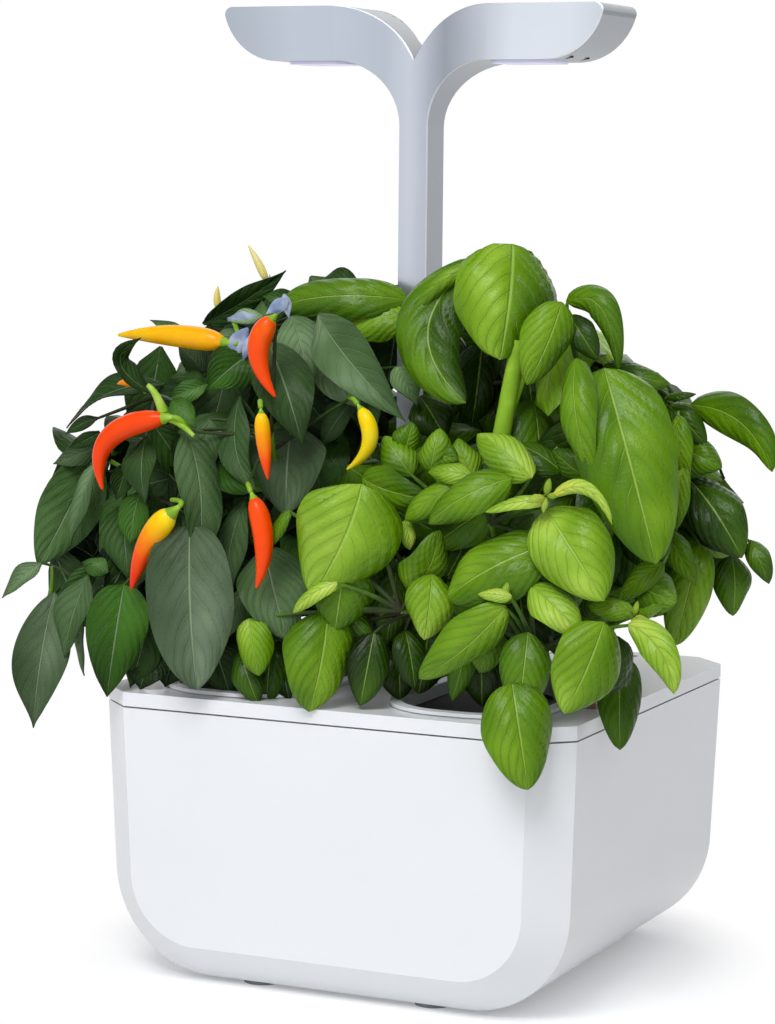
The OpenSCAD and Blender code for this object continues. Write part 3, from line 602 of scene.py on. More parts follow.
def addLeaf(
    bm, kind, base, tip, facing, wide, tone, arch, cells, seed, via=None, cup=None, twist=0, fresh=0.3, form=None,
    side=None,
):
    # a grid bent to a leaf: its middle line curves from base to tip and its upper face looks along facing
    values = leafKinds[kind]
    chord = tip - base
    ahead = chord.normalized()
    facing = (facing - ahead * facing.dot(ahead)).normalized()
    middle = (base + tip) / 2
    control = via * 2 - middle if via else middle + facing * (arch * chord.length * 2)
    control.y = max(control.y, leafForm["frontLimit"])
    cup = values["cup"] if cup is None else cup
    uvLayer = bm.loops.layers.uv["leafMap"]
    toneLayer, freshLayer = (bm.verts.layers.float[layer] for layer in ("tone", "fresh"))
    # painted light and shade: each leaf is lighter towards one end and one side and darker towards the others, and
    # side, where given, sets how much lighter one half is
    draw = random.Random(seed * 7 + cells[0])
    paintedEndShade, paintedSideLight = (draw.uniform(-leafForm[key], leafForm[key]) for key in ("paintedEndShade", "paintedSideLight"))
    paintedSideLight = paintedSideLight if side is None else side
    fold = values["fold"] + draw.uniform(0, leafForm["moreFold"])
    rise, fall = form or (values["rise"], values["fall"])
    # veins of a broad leaf run further forward than those of a narrow one
    slant = min(0.6, max(0.2, values["slant"] * wide / chord.length))
    made = bmesh.ops.create_grid(bm, x_segments=cells[0], y_segments=cells[1], size=1)["verts"]
    places = {}
    for p in made:
        v, u = p.co.x, (p.co.y + 1) / 2
        places[p] = (u, v)
        point = base * (1 - u) ** 2 + control * (2 * u * (1 - u)) + tip * u**2
        run = ((control - base) * (1 - u) + (tip - control) * u).normalized()
        out = run.cross(facing).normalized()
        if twist:
            out = Matrix.Rotation(math.radians(twist) * u, 3, run) @ out
        lift = out.cross(run)
        half = max(wide / 2 * leafShare(u, rise, fall), leafForm["baseHalf"] * (1 - u) + leafForm["tipHalf"])
        phase = values["veins"] * (u - slant * abs(v) ** leafForm["veinBow"])
        bulge = (0.5 - 0.5 * math.cos(2 * math.pi * phase)) * 4 * abs(v) * (1 - abs(v)) * values["pucker"]
        turns = leafForm["rippleTurns"] * u + seed * leafForm["rippleSeed"] + (leafForm["rippleSide"] if v > 0 else 0)
        ripple = math.sin(turns) * v * v * values["wave"]
        height = half * (fold * abs(v) - cup * v * v + bulge + ripple * 2)
        p.co = (point + out * (half * v * (1 - leafForm["roll"] * cup * v * v)) + lift * height) * mm
        p[toneLayer] = tone + paintedEndShade * (u - 0.5) + paintedSideLight * math.tanh(leafForm["toneEdge"] * v)
        p[freshLayer] = fresh
    for face in {f for p in made for f in p.link_faces}:
        for loop in face.loops:
            u, v = places[loop.vert]
            loop[uvLayer].uv = (u - slant * abs(v) ** leafForm["veinBow"], v / 2 + 0.5)


def addTube(bm, points, radii, tones, sides=8):
    # a disc extruded from point to point, closed at both ends
    toneLayer = bm.verts.layers.float["tone"]
    runs = [(points[min(i + 1, len(points) - 1)] - points[max(i - 1, 0)]).normalized() for i in range(len(points))]
    cap = bmesh.ops.create_circle(bm, segments=sides, radius=1, cap_ends=True)["verts"][0].link_faces[0]
    turn = upright.rotation_difference(runs[0]).to_matrix().to_4x4()
    first = Matrix.Translation(points[0] * mm) @ turn @ Matrix.Scale(radii[0] * mm, 4)
    bmesh.ops.transform(bm, matrix=first, verts=cap.verts)
    for p in cap.verts:
        p[toneLayer] = tones[0]
    for i in range(1, len(points)):
        old = cap
        grown = bmesh.ops.extrude_face_region(bm, geom=[old])["geom"]
        cap = next(g for g in grown if isinstance(g, bmesh.types.BMFace))
        if i > 1:
            bmesh.ops.delete(bm, geom=[old], context="FACES_ONLY")
        turn = runs[i - 1].rotation_difference(runs[i]).to_matrix().to_4x4()
        step = Matrix.Translation(points[i] * mm) @ turn @ Matrix.Scale(radii[i] / radii[i - 1], 4)
        bmesh.ops.transform(bm, matrix=step @ Matrix.Translation(-points[i - 1] * mm), verts=cap.verts)
        for p in cap.verts:
            p[toneLayer] = tones[i]


def bendPoints(start, bend, end, count):
    shares = [i / (count - 1) for i in range(count)]
    return [start * (1 - t) ** 2 + bend * (2 * t * (1 - t)) + end * t**2 for t in shares]


def thicken(bm):
    return bmesh.ops.solidify(bm, geom=bm.faces[:], thickness=leafForm["thick"] * mm)["geom"]


# ---- leaves that are placed by where they are seen


def leaf(base, tip, wide, depth, tone, **more):
    # pixels of base and tip, apparent width in pixels, depth in mm behind the front, tone from 0 dark to 1 pale,
    # and turn in degrees away from the viewer; tone holds the leaf's colour plus painted shade and painted sheen
    return {"base": base, "tip": tip, "wide": wide, "depth": depth, "tone": tone, **more}


chilliLeaves = {
    "c01": leaf((203, 324), (286, 271), 25, (-18, -18), 0.3, fresh=0.5, turn=35, arch=0.05),
    "c02": leaf((292, 316), (310, 392), 46, (-40, -52), 0.7),
    "c03": leaf((318, 314), (406, 422), 52, (-42, -60), 0.6, turn=15, side=0.07),
    "c04": leaf((322, 362), (362, 410), 42, (-36, -44), 0.78),
    "c05": leaf((398, 366), (417, 405), 30, (-30, -40), 0.7, fresh=0.5),
    "c06": leaf((268, 342), (303, 447), 60, (-55, -68), 0.4, turn=-10),
    "c07": leaf((292, 424), (286, 520), 80, (-46, -60), 0.56, fresh=0.1),
    "c08": leaf((352, 402), (322, 446), 30, (-40, -44), 0.4, turn=30),
    "c09": leaf((256, 350), (207, 390), 48, (-48, -60), 0.36, fresh=1.0, turn=10),
    "c10": leaf((240, 396), (258, 492), 28, (-66, -74), 0.5, turn=40, via=(236, 450)),
    "c11": leaf((218, 462), (264, 492), 42, (-68, -72), 0.3, fresh=1.0),
    "c12": leaf((210, 418), (198, 488), 30, (-70, -74), 0.5),
    "c13": leaf((186, 430), (199, 556), 42, (-76, -88), 0.56, fresh=0.3, form=(0.7, 0.8), turn=-35),
    "c14": leaf((146, 436), (146, 505), 32, (-78, -80), 0.4, fresh=0.4, turn=30),
    "c15": leaf((96, 452), (38, 566), 60, (-50, -60), 0.58, fresh=0.5, form=(0.7, 0.9)),
    "c16": leaf((98, 462), (70, 545), 22, (-62, -70), 0.62, turn=40),
    "c17": leaf((128, 462), (116, 500), 24, (-74, -78), 0.35, fresh=0.6),
    "c18": leaf((165, 384), (66, 428), 24, (-30, -45), 0.25, fresh=0.6, turn=50, arch=0.16),
    "c19": leaf((150, 392), (141, 338), 17, (-60, -62), 0.22, fresh=0.6, turn=55, via=(120, 362)),
    "c21": leaf((207, 384), (168, 400), 22, (-50, -56), 0.6, fresh=0.8),
    "c22": leaf((205, 372), (178, 345), 26, (-38, -42), 0.55, fresh=0.2),
    "c24": leaf((362, 290), (312, 288), 24, (5, 5), 0.25, fresh=0.6, turn=35, arch=0.2),
    "c26": leaf((190, 524), (197, 690), 88, (-90, -97), 0.62, fresh=0.0, form=(0.5, 0.72), side=-0.06),
    "c27": leaf((245, 500), (230, 605), 34, (-64, -70), 0.5, turn=30),
    "c28": leaf((265, 548), (288, 640), 68, (-72, -82), 0.6, form=(0.6, 0.8)),
    "c29": leaf((122, 505), (128, 580), 48, (-68, -74), 0.46, fresh=0.5),
    "c30": leaf((140, 492), (130, 545), 32, (-74, -78), 0.5, fresh=0.9, turn=20),
    "c31": leaf((54, 592), (33, 728), 56, (-84, -90), 0.55, fresh=0.1, side=-0.06),
    "c32": leaf((88, 575), (64, 660), 34, (-86, -90), 0.54, turn=30),
    "c33": leaf((82, 618), (84, 676), 12, (-75, -76), 0.7, turn=40),
    "c34": leaf((124, 584), (107, 697), 62, (-88, -93), 0.42, fresh=1.0, form=(0.5, 1.0)),
    "c35": leaf((152, 606), (130, 688), 44, (-78, -82), 0.34, fresh=0.6),
    "c36": leaf((42, 562), (2, 598), 18, (-60, -70), 0.66, turn=40),
    "c37": leaf((108, 572), (82, 562), 22, (-80, -82), 0.6, fresh=0.7, turn=20),
    "c38": leaf((98, 562), (56, 602), 22, (-80, -84), 0.5, fresh=0.6, turn=-20),
    "c39": leaf((240, 590), (226, 640), 26, (-73, -77), 0.6),
    "c40": leaf((212, 640), (232, 700), 46, (-70, -76), 0.2, fresh=0.6),
    "c41": leaf((178, 640), (165, 687), 52, (-70, -76), 0.22, fresh=0.5),
    "c42": leaf((152, 650), (140, 690), 44, (-76, -82), 0.28, fresh=0.4),
    "c43": leaf((272, 640), (290, 701), 52, (-68, -74), 0.12, fresh=0.6),
    "c44": leaf((98, 418), (66, 434), 13, (-66, -68), 0.22, fresh=0.6, turn=20),
    "c45": leaf((100, 432), (68, 448), 15, (-66, -69), 0.28, fresh=0.5, turn=-20),
    "c46": leaf((104, 446), (53, 464), 22, (-58, -62), 0.48, fresh=0.2),
    "c47": leaf((190, 344), (150, 320), 14, (-40, -42), 0.6, turn=30),
    "c48": leaf((205, 380), (168, 378), 16, (-44, -46), 0.4, fresh=0.7, turn=30),
    "c49": leaf((172, 400), (196, 428), 26, (-70, -72), 0.55, fresh=0.9),
    "c50": leaf((263, 316), (227, 321), 15, (-44, -46), 0.86, turn=20),
    "c51": leaf((262, 330), (262, 300), 16, (-40, -34), 0.55, fresh=0.6),
    "c52": leaf((396, 326), (386, 396), 50, (-4, -10), 0.22),
    "c53": leaf((240, 330), (214, 352), 20, (-44, -48), 0.7, turn=20),
    "c54": leaf((300, 300), (262, 296), 18, (-24, -26), 0.45, fresh=0.7),
}

basilLeaves = {
    "b01": leaf((408, 300), (281, 305), 44, (-20, -30), 0.46, form=(0.4, 0.42), turn=15, side=0.06),
    "b02": leaf((410, 314), (343, 332), 40, (-22, -27), 0.66, turn=20),
    "b03": leaf((478, 262), (466, 403), 64, (-38, -55), 0.38, turn=24, side=0.14, via=(428, 330)),
    "b04": leaf((513, 244), (500, 360), 102, (-45, -62), 0.6, form=(0.22, 0.46), cup=0.6, side=0.12),
    "b06": leaf((562, 302), (527, 385), 50, (-58, -66), 0.62, turn=-15, side=0.08),
    "b07": leaf((566, 302), (618, 370), 30, (-44, -46), 0.52, turn=15, via=(601, 308)),
    "b08": leaf((570, 315), (598, 360), 30, (-50, -52), 0.2),
    "b10": leaf((604, 368), (656, 564), 100, (-62, -75), 0.54, form=(0.42, 0.6), cup=0.25, side=-0.06, via=(628, 455)),
    "b11": leaf((600, 372), (669, 385), 34, (-30, -30), 0.3),
    "b12": leaf((665, 398), (696, 394), 9, (-20, -20), 0.3),
    "b13": leaf((690, 405), (772, 472), 40, (-10, -22), 0.5, turn=20, arch=0.2, via=(740, 422)),
    "b14": leaf((668, 405), (706, 445), 30, (-15, -17), 0.28),
    "b15": leaf((678, 415), (688, 480), 22, (-25, -27), 0.6, turn=30),
    "b16": leaf((690, 480), (742, 558), 58, (-12, -20), 0.22, side=-0.06),
    "b17": leaf((680, 450), (722, 468), 36, (-16, -18), 0.45),
    "b18": leaf((684, 468), (676, 530), 20, (-38, -42), 0.65, turn=30),
    "b19": leaf((690, 500), (728, 552), 44, (-3, -6), 0.05),
    "b20": leaf((750, 540), (769, 584), 24, (-11, -13), 0.35),
    "b21": leaf((732, 555), (733, 616), 38, (-4, -7), 0.34),
    "b22": leaf((700, 545), (674, 646), 46, (-13, -17), 0.6, side=-0.05),
    "b23": leaf((668, 532), (696, 585), 26, (-34, -37), 0.55),
    "b24": leaf((664, 563), (618, 600), 26, (-60, -64), 0.55, turn=20),
    "b25": leaf((634, 584), (677, 602), 46, (-60, -64), 0.58, fresh=0.0, turn=10, cup=0.6),
    "b26": leaf((634, 612), (588, 606), 24, (-80, -82), 0.6, turn=20),
    "b27": leaf((628, 624), (674, 694), 34, (-85, -90), 0.8, turn=15, via=(659, 650)),
    "b28": leaf((636, 616), (664, 605), 14, (-80, -80), 0.6, turn=30),
    "b29": leaf((620, 655), (620, 750), 44, (-45, -60), 0.36),
    "b30": leaf((628, 655), (590, 690), 40, (-68, -72), 0.22),
    "b31": leaf((604, 622), (564, 714), 70, (-92, -98), 0.66, side=0.08),
    "b32": leaf((528, 632), (518, 716), 52, (-86, -93), 0.52),
    "b33": leaf((512, 683), (528, 790), 72, (-95, -101), 0.58, side=0.05),
    "b34": leaf((532, 586), (580, 634), 42, (-86, -90), 0.74),
    "b35": leaf((548, 500), (485, 512), 13, (-88, -90), 0.85, turn=30),
    "b36": leaf((546, 510), (604, 601), 80, (-82, -90), 0.74, side=0.05),
    "b37": leaf((545, 545), (447, 598), 68, (-80, -88), 0.55, turn=20, side=0.07),
    "b38": leaf((412, 592), (440, 530), 44, (-76, -80), 0.6, turn=25),
    "b39": leaf((432, 574), (424, 640), 50, (-82, -86), 0.7),
    "b40": leaf((506, 606), (419, 679), 46, (-90, -96), 0.64, turn=-25),
    "b41": leaf((492, 626), (480, 673), 38, (-83, -85), 0.5),
    "b42": leaf((552, 497), (612, 525), 13, (-88, -90), 0.9, turn=30, via=(586, 489)),
    "b43": leaf((512, 478), (429, 524), 40, (-82, -90), 0.58, turn=25),
    "b44": leaf((470, 480), (405, 520), 30, (-74, -78), 0.65, turn=30),
    "b45": leaf((532, 478), (477, 434), 40, (-75, -70), 0.78, turn=20),
    "b46": leaf((590, 480), (552, 450), 30, (-60, -62), 0.4),
    "b47": leaf((412, 476), (384, 436), 40, (-62, -58), 0.56, fresh=0.0, cup=0.7),
    "b48": leaf((430, 472), (440, 428), 36, (-64, -60), 0.6, fresh=0.0, cup=0.7),
    "b49": leaf((362, 478), (430, 500), 38, (-70, -74), 0.5, turn=20),
    "b50": leaf((362, 484), (312, 597), 108, (-88, -92), 0.7, cup=0.5, side=0.07, via=(345, 538)),
    "b51": leaf((346, 560), (335, 630), 66, (-85, -87), 0.48),
    "b52": leaf((328, 612), (309, 712), 72, (-86, -92), 0.6, side=-0.07),
    "b53": leaf((374, 632), (360, 706), 42, (-80, -84), 0.2),
    "b54": leaf((405, 630), (415, 688), 34, (-74, -77), 0.2),
    "b55": leaf((250, 618), (259, 676), 38, (-86, -90), 0.7),
    "b56": leaf((240, 650), (258, 704), 34, (-80, -84), 0.25),
    "b57": leaf((512, 597), (478, 594), 14, (-92, -93), 0.9, turn=20),
    "b58": leaf((338, 582), (293, 613), 16, (-92, -94), 0.8, turn=30),
    "b59": leaf((290, 510), (270, 548), 14, (-86, -88), 0.5, turn=30),
    "b60": leaf((405, 520), (410, 550), 18, (-74, -76), 0.8),
    "b61": leaf((470, 636), (452, 701), 28, (-72, -78), 0.35),
    "b62": leaf((428, 622), (418, 694), 50, (-62, -68), 0.18),
    "b63": leaf((396, 640), (400, 700), 46, (-60, -66), 0.14),
    "b64": leaf((480, 630), (482, 707), 56, (-62, -68), 0.1),
    "b65": leaf((520, 596), (534, 668), 54, (-66, -70), 0.12),
    "b67": leaf((272, 636), (266, 704), 40, (-72, -78), 0.26),
    "b68": leaf((618, 636), (596, 694), 50, (-74, -76), 0.14),
    "b70": leaf((472, 480), (458, 438), 34, (-58, -56), 0.7, cup=0.6),
    "b71": leaf((472, 476), (428, 472), 22, (-76, -78), 0.75, turn=20),
    "b72": leaf((562, 472), (514, 444), 34, (-62, -60), 0.32, turn=20),
    "b73": leaf((576, 358), (592, 478), 36, (-66, -74), 0.56, turn=25),
    "b74": leaf((500, 604), (508, 582), 10, (-90, -91), 0.85, turn=20),
    "b75": leaf((404, 452), (412, 422), 30, (-58, -56), 0.5, fresh=0.0, cup=0.7),
    # b76 is a narrow strip along b03's upper fold; its paleness is partly painted highlight
    "b76": leaf((480, 262), (408, 326), 16, (-41, -48), 0.6, turn=10, via=(438, 286)),
    "b77": leaf((430, 454), (458, 460), 30, (-60, -62), 0.5, fresh=0.0, cup=0.7),
    "b78": leaf((402, 480), (374, 464), 26, (-58, -58), 0.44, fresh=0.0, cup=0.6),
    "b79": leaf((440, 326), (446, 404), 52, (0, -6), 0.12),
    "b80": leaf((482, 344), (472, 424), 54, (-18, -24), 0.1),
    "b81": leaf((420, 396), (446, 440), 44, (-30, -34), 0.2),
    "b82": leaf((386, 560), (378, 636), 52, (-58, -64), 0.14),
    "b83": leaf((404, 556), (398, 612), 40, (-60, -64), 0.26),
    "b84": leaf((374, 556), (354, 632), 46, (-70, -74), 0.24),
    "b85": leaf((396, 572), (386, 642), 44, (-68, -72), 0.3),
    "b86": leaf((330, 596), (372, 640), 30, (-76, -78), 0.34),
}

chilliFruits = {
    "longYellow": {"line": ((226, 343), (172, 332), (117, 335)), "depth": -54, "radius": 4.5, "ripe": (0.44, 0.36),
                   "cap": 0.6, "stalk": ((234, 322), -46)},
    "highRed": {"line": ((273, 318), (242, 350), (276, 398)), "depth": -77, "radius": 4.3, "ripe": (0.72, 0.86),
                "stalk": ((276, 306), -72)},
    "bentRed": {"line": ((166, 418), (82, 424), (103, 491)), "depth": -86, "radius": 4.4, "ripe": (0.84, 0.88),
                "cap": 0.6, "stalk": ((190, 432), -80)},
    "slimMiddle": {"line": ((261, 412), (264, 448), (268, 480)), "depth": -95, "radius": 2.9, "ripe": (0.3, 0.95),
                   "stalk": ((260, 402), -88)},
    "midYellow": {"line": ((360, 408), (386, 446), (346, 470)), "depth": -65, "radius": 3.2, "ripe": (0.26, 0.22),
                  "stalk": ((350, 398), -60)},
    "lowOrange": {"line": ((173, 512), (144, 536), (131, 590)), "depth": -96, "radius": 4.7, "ripe": (0.16, 1.1),
                  "cap": 0.7, "stalk": ((172, 500), -90)},
    "lowRed": {"line": ((253, 497), (273, 545), (256, 589)), "depth": -93, "radius": 3.9, "ripe": (0.78, 0.84),
               "stalk": ((248, 484), -86)},
    "topPale": {"line": ((266, 280), (259, 262), (248, 245)), "depth": -4, "radius": 1.7, "ripe": (0.06, 0.02),
                "stalk": ((268, 290), -8)},
    "topSmall": {"line": ((218, 308), (216, 296), (218, 286)), "depth": -10, "radius": 1.5, "ripe": (0.08, 0.04),
                 "stalk": ((220, 318), -14)},
    "tipOrange": {"line": ((136, 384), (126, 381), (117, 384)), "depth": -50, "radius": 1.7, "ripe": (0.5, 0.55),
                  "stalk": ((146, 392), -48)},
}

# each branch: its end, the width of its leaves and the tips of those that grow round that end, in mm
plantValues = {
    "chilli": {
        "body": "pod_left", "foot": (-46, -17, 105), "fork": (-50, -16, 158), "thick": 2.6,
        "branches": [
            ((-112, -46, 190), 35, ((-144, -52, 164), (-138, -30, 194), (-116, -80, 156), (-136, -30, 150))),
            ((-116, -60, 144), 30, ((-146, -72, 138), (-133, -74, 90), (-98, -88, 106))),
            ((-104, 4, 206), 35, ((-126, -10, 234), (-146, 10, 190), (-132, 32, 166), (-112, 44, 206))),
            ((-88, -52, 216), 34, ((-112, -68, 194), (-88, -84, 182), (-110, -38, 214), (-66, -80, 208))),
            ((-62, -68, 172), 38, ((-54, -88, 115), (-92, -90, 130), (-30, -86, 138), (-72, -94, 150))),
            ((-30, -70, 206), 30, ((0, -84, 204), (-16, -86, 164), (-44, -90, 190))),
            ((-62, -20, 238), 30, ((-56, -2, 262), (-92, -18, 240), (-56, -50, 250), (-46, 14, 238))),
            ((-70, 46, 200), 38, ((-106, 76, 186), (-66, 104, 172), (-26, 84, 192), (-84, 88, 142), (-40, 60, 232))),
            ((-82, 34, 150), 34, ((-130, 54, 128), (-104, 84, 118), (-58, 98, 122))),
            ((-36, 26, 190), 30, ((-12, 34, 214), (-20, 56, 158), (-56, 4, 210))),
        ],
        "middle": (-66, 4, 176), "spread": (66, 84, 72), "fillers": 130, "understory": 130, "seed": 5,
        "toneRange": (0.14, 0.55), "low": 113, "high": 262, "size": (30, 52), "slim": 0.46, "side": -1,
    },
    "basil": {
        "body": "pod_right", "foot": (46, -17, 105), "fork": (46, -17, 146), "thick": 3.0,
        "branches": [
            ((46, -20, 254), 36, ((50, -38, 273), (56, -56, 230), (14, -44, 222), (-28, -50, 250), (84, -14, 232),
                                  (30, 14, 250))),
            ((78, -34, 220), 46, ((108, -34, 165), (92, -74, 182), (62, -80, 190))),
            ((104, -2, 216), 38, ((142, -16, 196), (136, 10, 158), (118, 30, 170), (94, 34, 212))),
            ((106, -10, 176), 38, ((126, -6, 141), (106, -16, 128), (120, -44, 150))),
            ((60, 56, 208), 40, ((88, 76, 184), (40, 106, 180), (10, 78, 204), (106, 50, 170), (30, 50, 240),
                                 (70, 100, 146))),
            ((58, -72, 178), 38, ((14, -92, 160), (62, -98, 150), (94, -84, 152), (34, -90, 186))),
            ((78, -78, 134), 34, ((82, -104, 90), (110, -56, 100), (50, -96, 116))),
            ((70, 50, 146), 38, ((96, 60, 130), (66, 92, 120), (28, 90, 130))),
            ((28, -82, 146), 28, ((10, -94, 116), (38, -98, 118))),
        ],
        "middle": (70, 4, 182), "spread": (64, 86, 76), "fillers": 150, "understory": 170, "seed": 8,
        "toneRange": (0.16, 0.6), "low": 113, "high": 270, "size": (28, 46), "slim": 0.66, "side": 1,
    },
}

# small whorls of young leaves at the basil's growing ends, and stems that show between its leaves
basilSprouts = {
    "high": {"depth": -88, "at": (546, 496), "long": 8, "count": 4},
    "right": {"depth": -82, "at": (634, 616), "long": 7, "count": 4},
}
basilStems = {
    "main": {"line": ((519, 340), (508, 400), (500, 444)), "depth": -57, "radius": 3.3},
    "side": {"line": ((532, 352), (516, 396), (505, 430)), "depth": -54, "radius": 1.5},
}

# outline that the foliage keeps to as seen from the front right, and the gaps in it, in pixels
foliageOutline = [
    (205, 318), (240, 292), (285, 274), (335, 270), (360, 285), (405, 290), (440, 262), (470, 250), (540, 248),
    (558, 290), (600, 297), (622, 340), (622, 360), (660, 368), (690, 402), (722, 455), (745, 480), (752, 530),
    (750, 560), (712, 562), (712, 600), (680, 640), (665, 605), (648, 625), (640, 660), (645, 700), (600, 712),
    (420, 712), (240, 703), (200, 692), (120, 690), (98, 690), (88, 600), (60, 640), (36, 715), (20, 650), (30, 600),
    (38, 560), (40, 500), (60, 455), (90, 432), (110, 400), (150, 375), (130, 345), (200, 330),
]
foliageGaps = [
    [(138, 350), (160, 352), (180, 352), (190, 364), (188, 376), (150, 386), (136, 372)],
    [(598, 300), (625, 340), (625, 362), (600, 330), (570, 312)],
    [(100, 402), (132, 402), (128, 424), (100, 428)],
]
mastKeepOut = {"x": 0, "y": -6.4, "reach": 17}  # mm
gaugeKeepOut = {"x": 83.6, "y": -38, "top": 140, "reach": 6}  # mm, where the gauge's rod rises

# how leaves are drawn and where they may grow: lengths in mm, angles in degrees
growthValues = {
    "seenTurn": 14, "seenTwist": 18, "branchTwist": 14, "fillTwist": 20, "fillTurn": 35, "fillLean": 0.5,
    "shadeTurn": 45, "shadeLean": 55, "shadeBehind": (8, 46), "shadeScatter": 30, "fillerTries": 6000,
    "shadeTries": 9000, "middleShare": 0.45, "sideShare": 0.42, "front": -92, "back": 103, "side": 141, "past": -8,
    # a placed leaf is kept free at these shares of its length, this many pixels beyond half its width
    "freeShares": (0.15, 0.4, 0.65, 0.9), "freeMargin": 14, "freeDepth": 6,
}


def insideShape(pixel, outline):
    inside = False
    for (ax, ay), (bx, by) in zip(outline, outline[1:] + outline[:1]):
        if (ay > pixel[1]) != (by > pixel[1]) and pixel[0] < (bx - ax) * (pixel[1] - ay) / (by - ay) + ax:
            inside = not inside
    return inside


def keepsInside(base, tip, facing, wide):
    # whether a leaf's middle line and its two sides are seen within the outline and clear of the gaps
    ahead = (tip - base).normalized()
    out = ahead.cross(facing).normalized() * wide * growthValues["sideShare"]
    middle = base.lerp(tip, growthValues["middleShare"])
    pixels = [pixelOf(p) for p in (base, middle, tip, middle + out, middle - out)]
    return all(insideShape(p, foliageOutline) for p in pixels) and not any(
        insideShape(p, gap) for p in pixels for gap in foliageGaps
    )


def stepsAway(a, b, keepOut):
    # seven steps from a to b, and how far each is from the middle of what is kept clear
    steps = [a.lerp(b, t / 6) for t in range(7)]
    return [(p, math.hypot(p.x - keepOut["x"], p.y - keepOut["y"])) for p in steps]


def nearMast(a, b):
    return any(away < mastKeepOut["reach"] for _, away in stepsAway(a, b, mastKeepOut))


def overGauge(a, b, wide):
    top, reach = gaugeKeepOut["top"] + wide / 2, gaugeKeepOut["reach"] + wide / 2
    return any(p.z < top and away < reach for p, away in stepsAway(a, b, gaugeKeepOut))


def listSeen(kind, leaves):
    spots = []
    for seen in leaves.values():
        (baseX, baseY), (tipX, tipY), (near, far) = seen["base"], seen["tip"], seen["depth"]
        for t in growthValues["freeShares"]:
            pixel = (baseX * (1 - t) + tipX * t, baseY * (1 - t) + tipY * t)
            spot = seenAt(pixel, near * (1 - t) + far * t)
            spots.append((kind, pixel, farFrom(spot), seen["wide"] * 0.5 + growthValues["freeMargin"]))
    return spots


seenSpots = listSeen("chilli", chilliLeaves) + listSeen("basil", basilLeaves)


def hidesSeen(points):
    # whether a leaf through these points would come before one that was placed by where it is seen
    for point in points:
        pixel, far = pixelOf(point), farFrom(point)
        for _, spot, spotFar, reach in seenSpots:
            near = math.hypot(pixel[0] - spot[0], pixel[1] - spot[1]) < reach
            if near and far < spotFar + growthValues["freeDepth"]:
                return True
    return False


def growStems(bm, values):
    # the trunk and its branches; the points along the branches are where leaf stalks start
    foot, fork = Vector(values["foot"]), Vector(values["fork"])
    steps = range(9)
    line = bendPoints(foot, foot.lerp(fork, 0.5) + Vector((2, 1, 0)), fork, len(steps))
    radii = [values["thick"] * (1 - 0.025 * i) for i in steps]
    addTube(bm, line, radii, [0.1 + 0.05 * i for i in steps], sides=12)
    radii = [values["thick"] * (0.62 - 0.035 * i) for i in steps]
    roots = []
    for end, *_ in values["branches"]:
        end = Vector(end)
        line = bendPoints(fork, fork.lerp(end, 0.5) - upright * (0.05 * (end - fork).length), end, len(steps))
        addTube(bm, line, radii, [0.35 + 0.03 * i for i in steps])
        roots += line[2:]
    return roots


def growStalk(bm, kind, roots, base, ahead, thin=1.0, shade=1.0):
    start = min(roots, key=lambda e: (e - base).length + max(0.0, base.y - e.y) * 1.5)
    reach = (base - start).length
    if reach > 2:
        values = leafKinds[kind]
        # it comes up behind its leaf and turns over into it
        bend = base + (start - base).normalized() * min(reach * 0.4, 10) - ahead * 2 - camBack * min(reach * 0.25, 5)
        radii = [values["stalk"] * thin * s for s in (1.0, 0.96, 0.92, 0.88, 0.82, 0.75, 0.6)]
        # painted shade: a stalk is darker where it starts inside the plant and lighter at its leaf, and darker all over
        # when shade is below 1
        tones = [values["stalkTone"] * shade * (0.16 + 0.14 * i) for i in range(7)]
        addTube(bm, bendPoints(start, bend, base + ahead * 0.6, 7), radii, tones, sides=6)


def placeSeenLeaf(leaves, stems, kind, roots, seen, seed):
    values = leafKinds[kind]
    base, tip = (seenAt(seen[end], seen["depth"][i]) for i, end in enumerate(("base", "tip")))
    draw = random.Random(seed)
    turn = seen.get("turn", draw.uniform(-growthValues["seenTurn"], growthValues["seenTurn"]))
    cup = seen.get("cup", values["cup"])
    perPixel = (camPlace - base).length / focalPixels
    wide = seen["wide"] * perPixel / math.cos(math.radians(turn)) / (1 - leafForm["roll"] * cup)
    ahead = (tip - base).normalized()
    facing = Matrix.Rotation(math.radians(turn), 3, ahead) @ camBack
    via = seenAt(seen["via"], sum(seen["depth"]) / 2 - 4) if "via" in seen else None
    addLeaf(
        leaves, kind, base, tip, facing, wide, seen["tone"], via=via, cup=cup, seed=seed,
        fresh=seen.get("fresh", 0.3), form=seen.get("form"), side=seen.get("side"),
        arch=seen.get("arch", draw.uniform(*values["arch"])),
        twist=draw.uniform(-growthValues["seenTwist"], growthValues["seenTwist"]),
        cells=(20, 40) if wide > 24 else (14, 28) if wide > 12 else (8, 14),
    )
    # the stalks of dark leaves get painted shade
    growStalk(stems, kind, roots, base, ahead, shade=0.35 if seen["tone"] < 0.3 else 1.0)


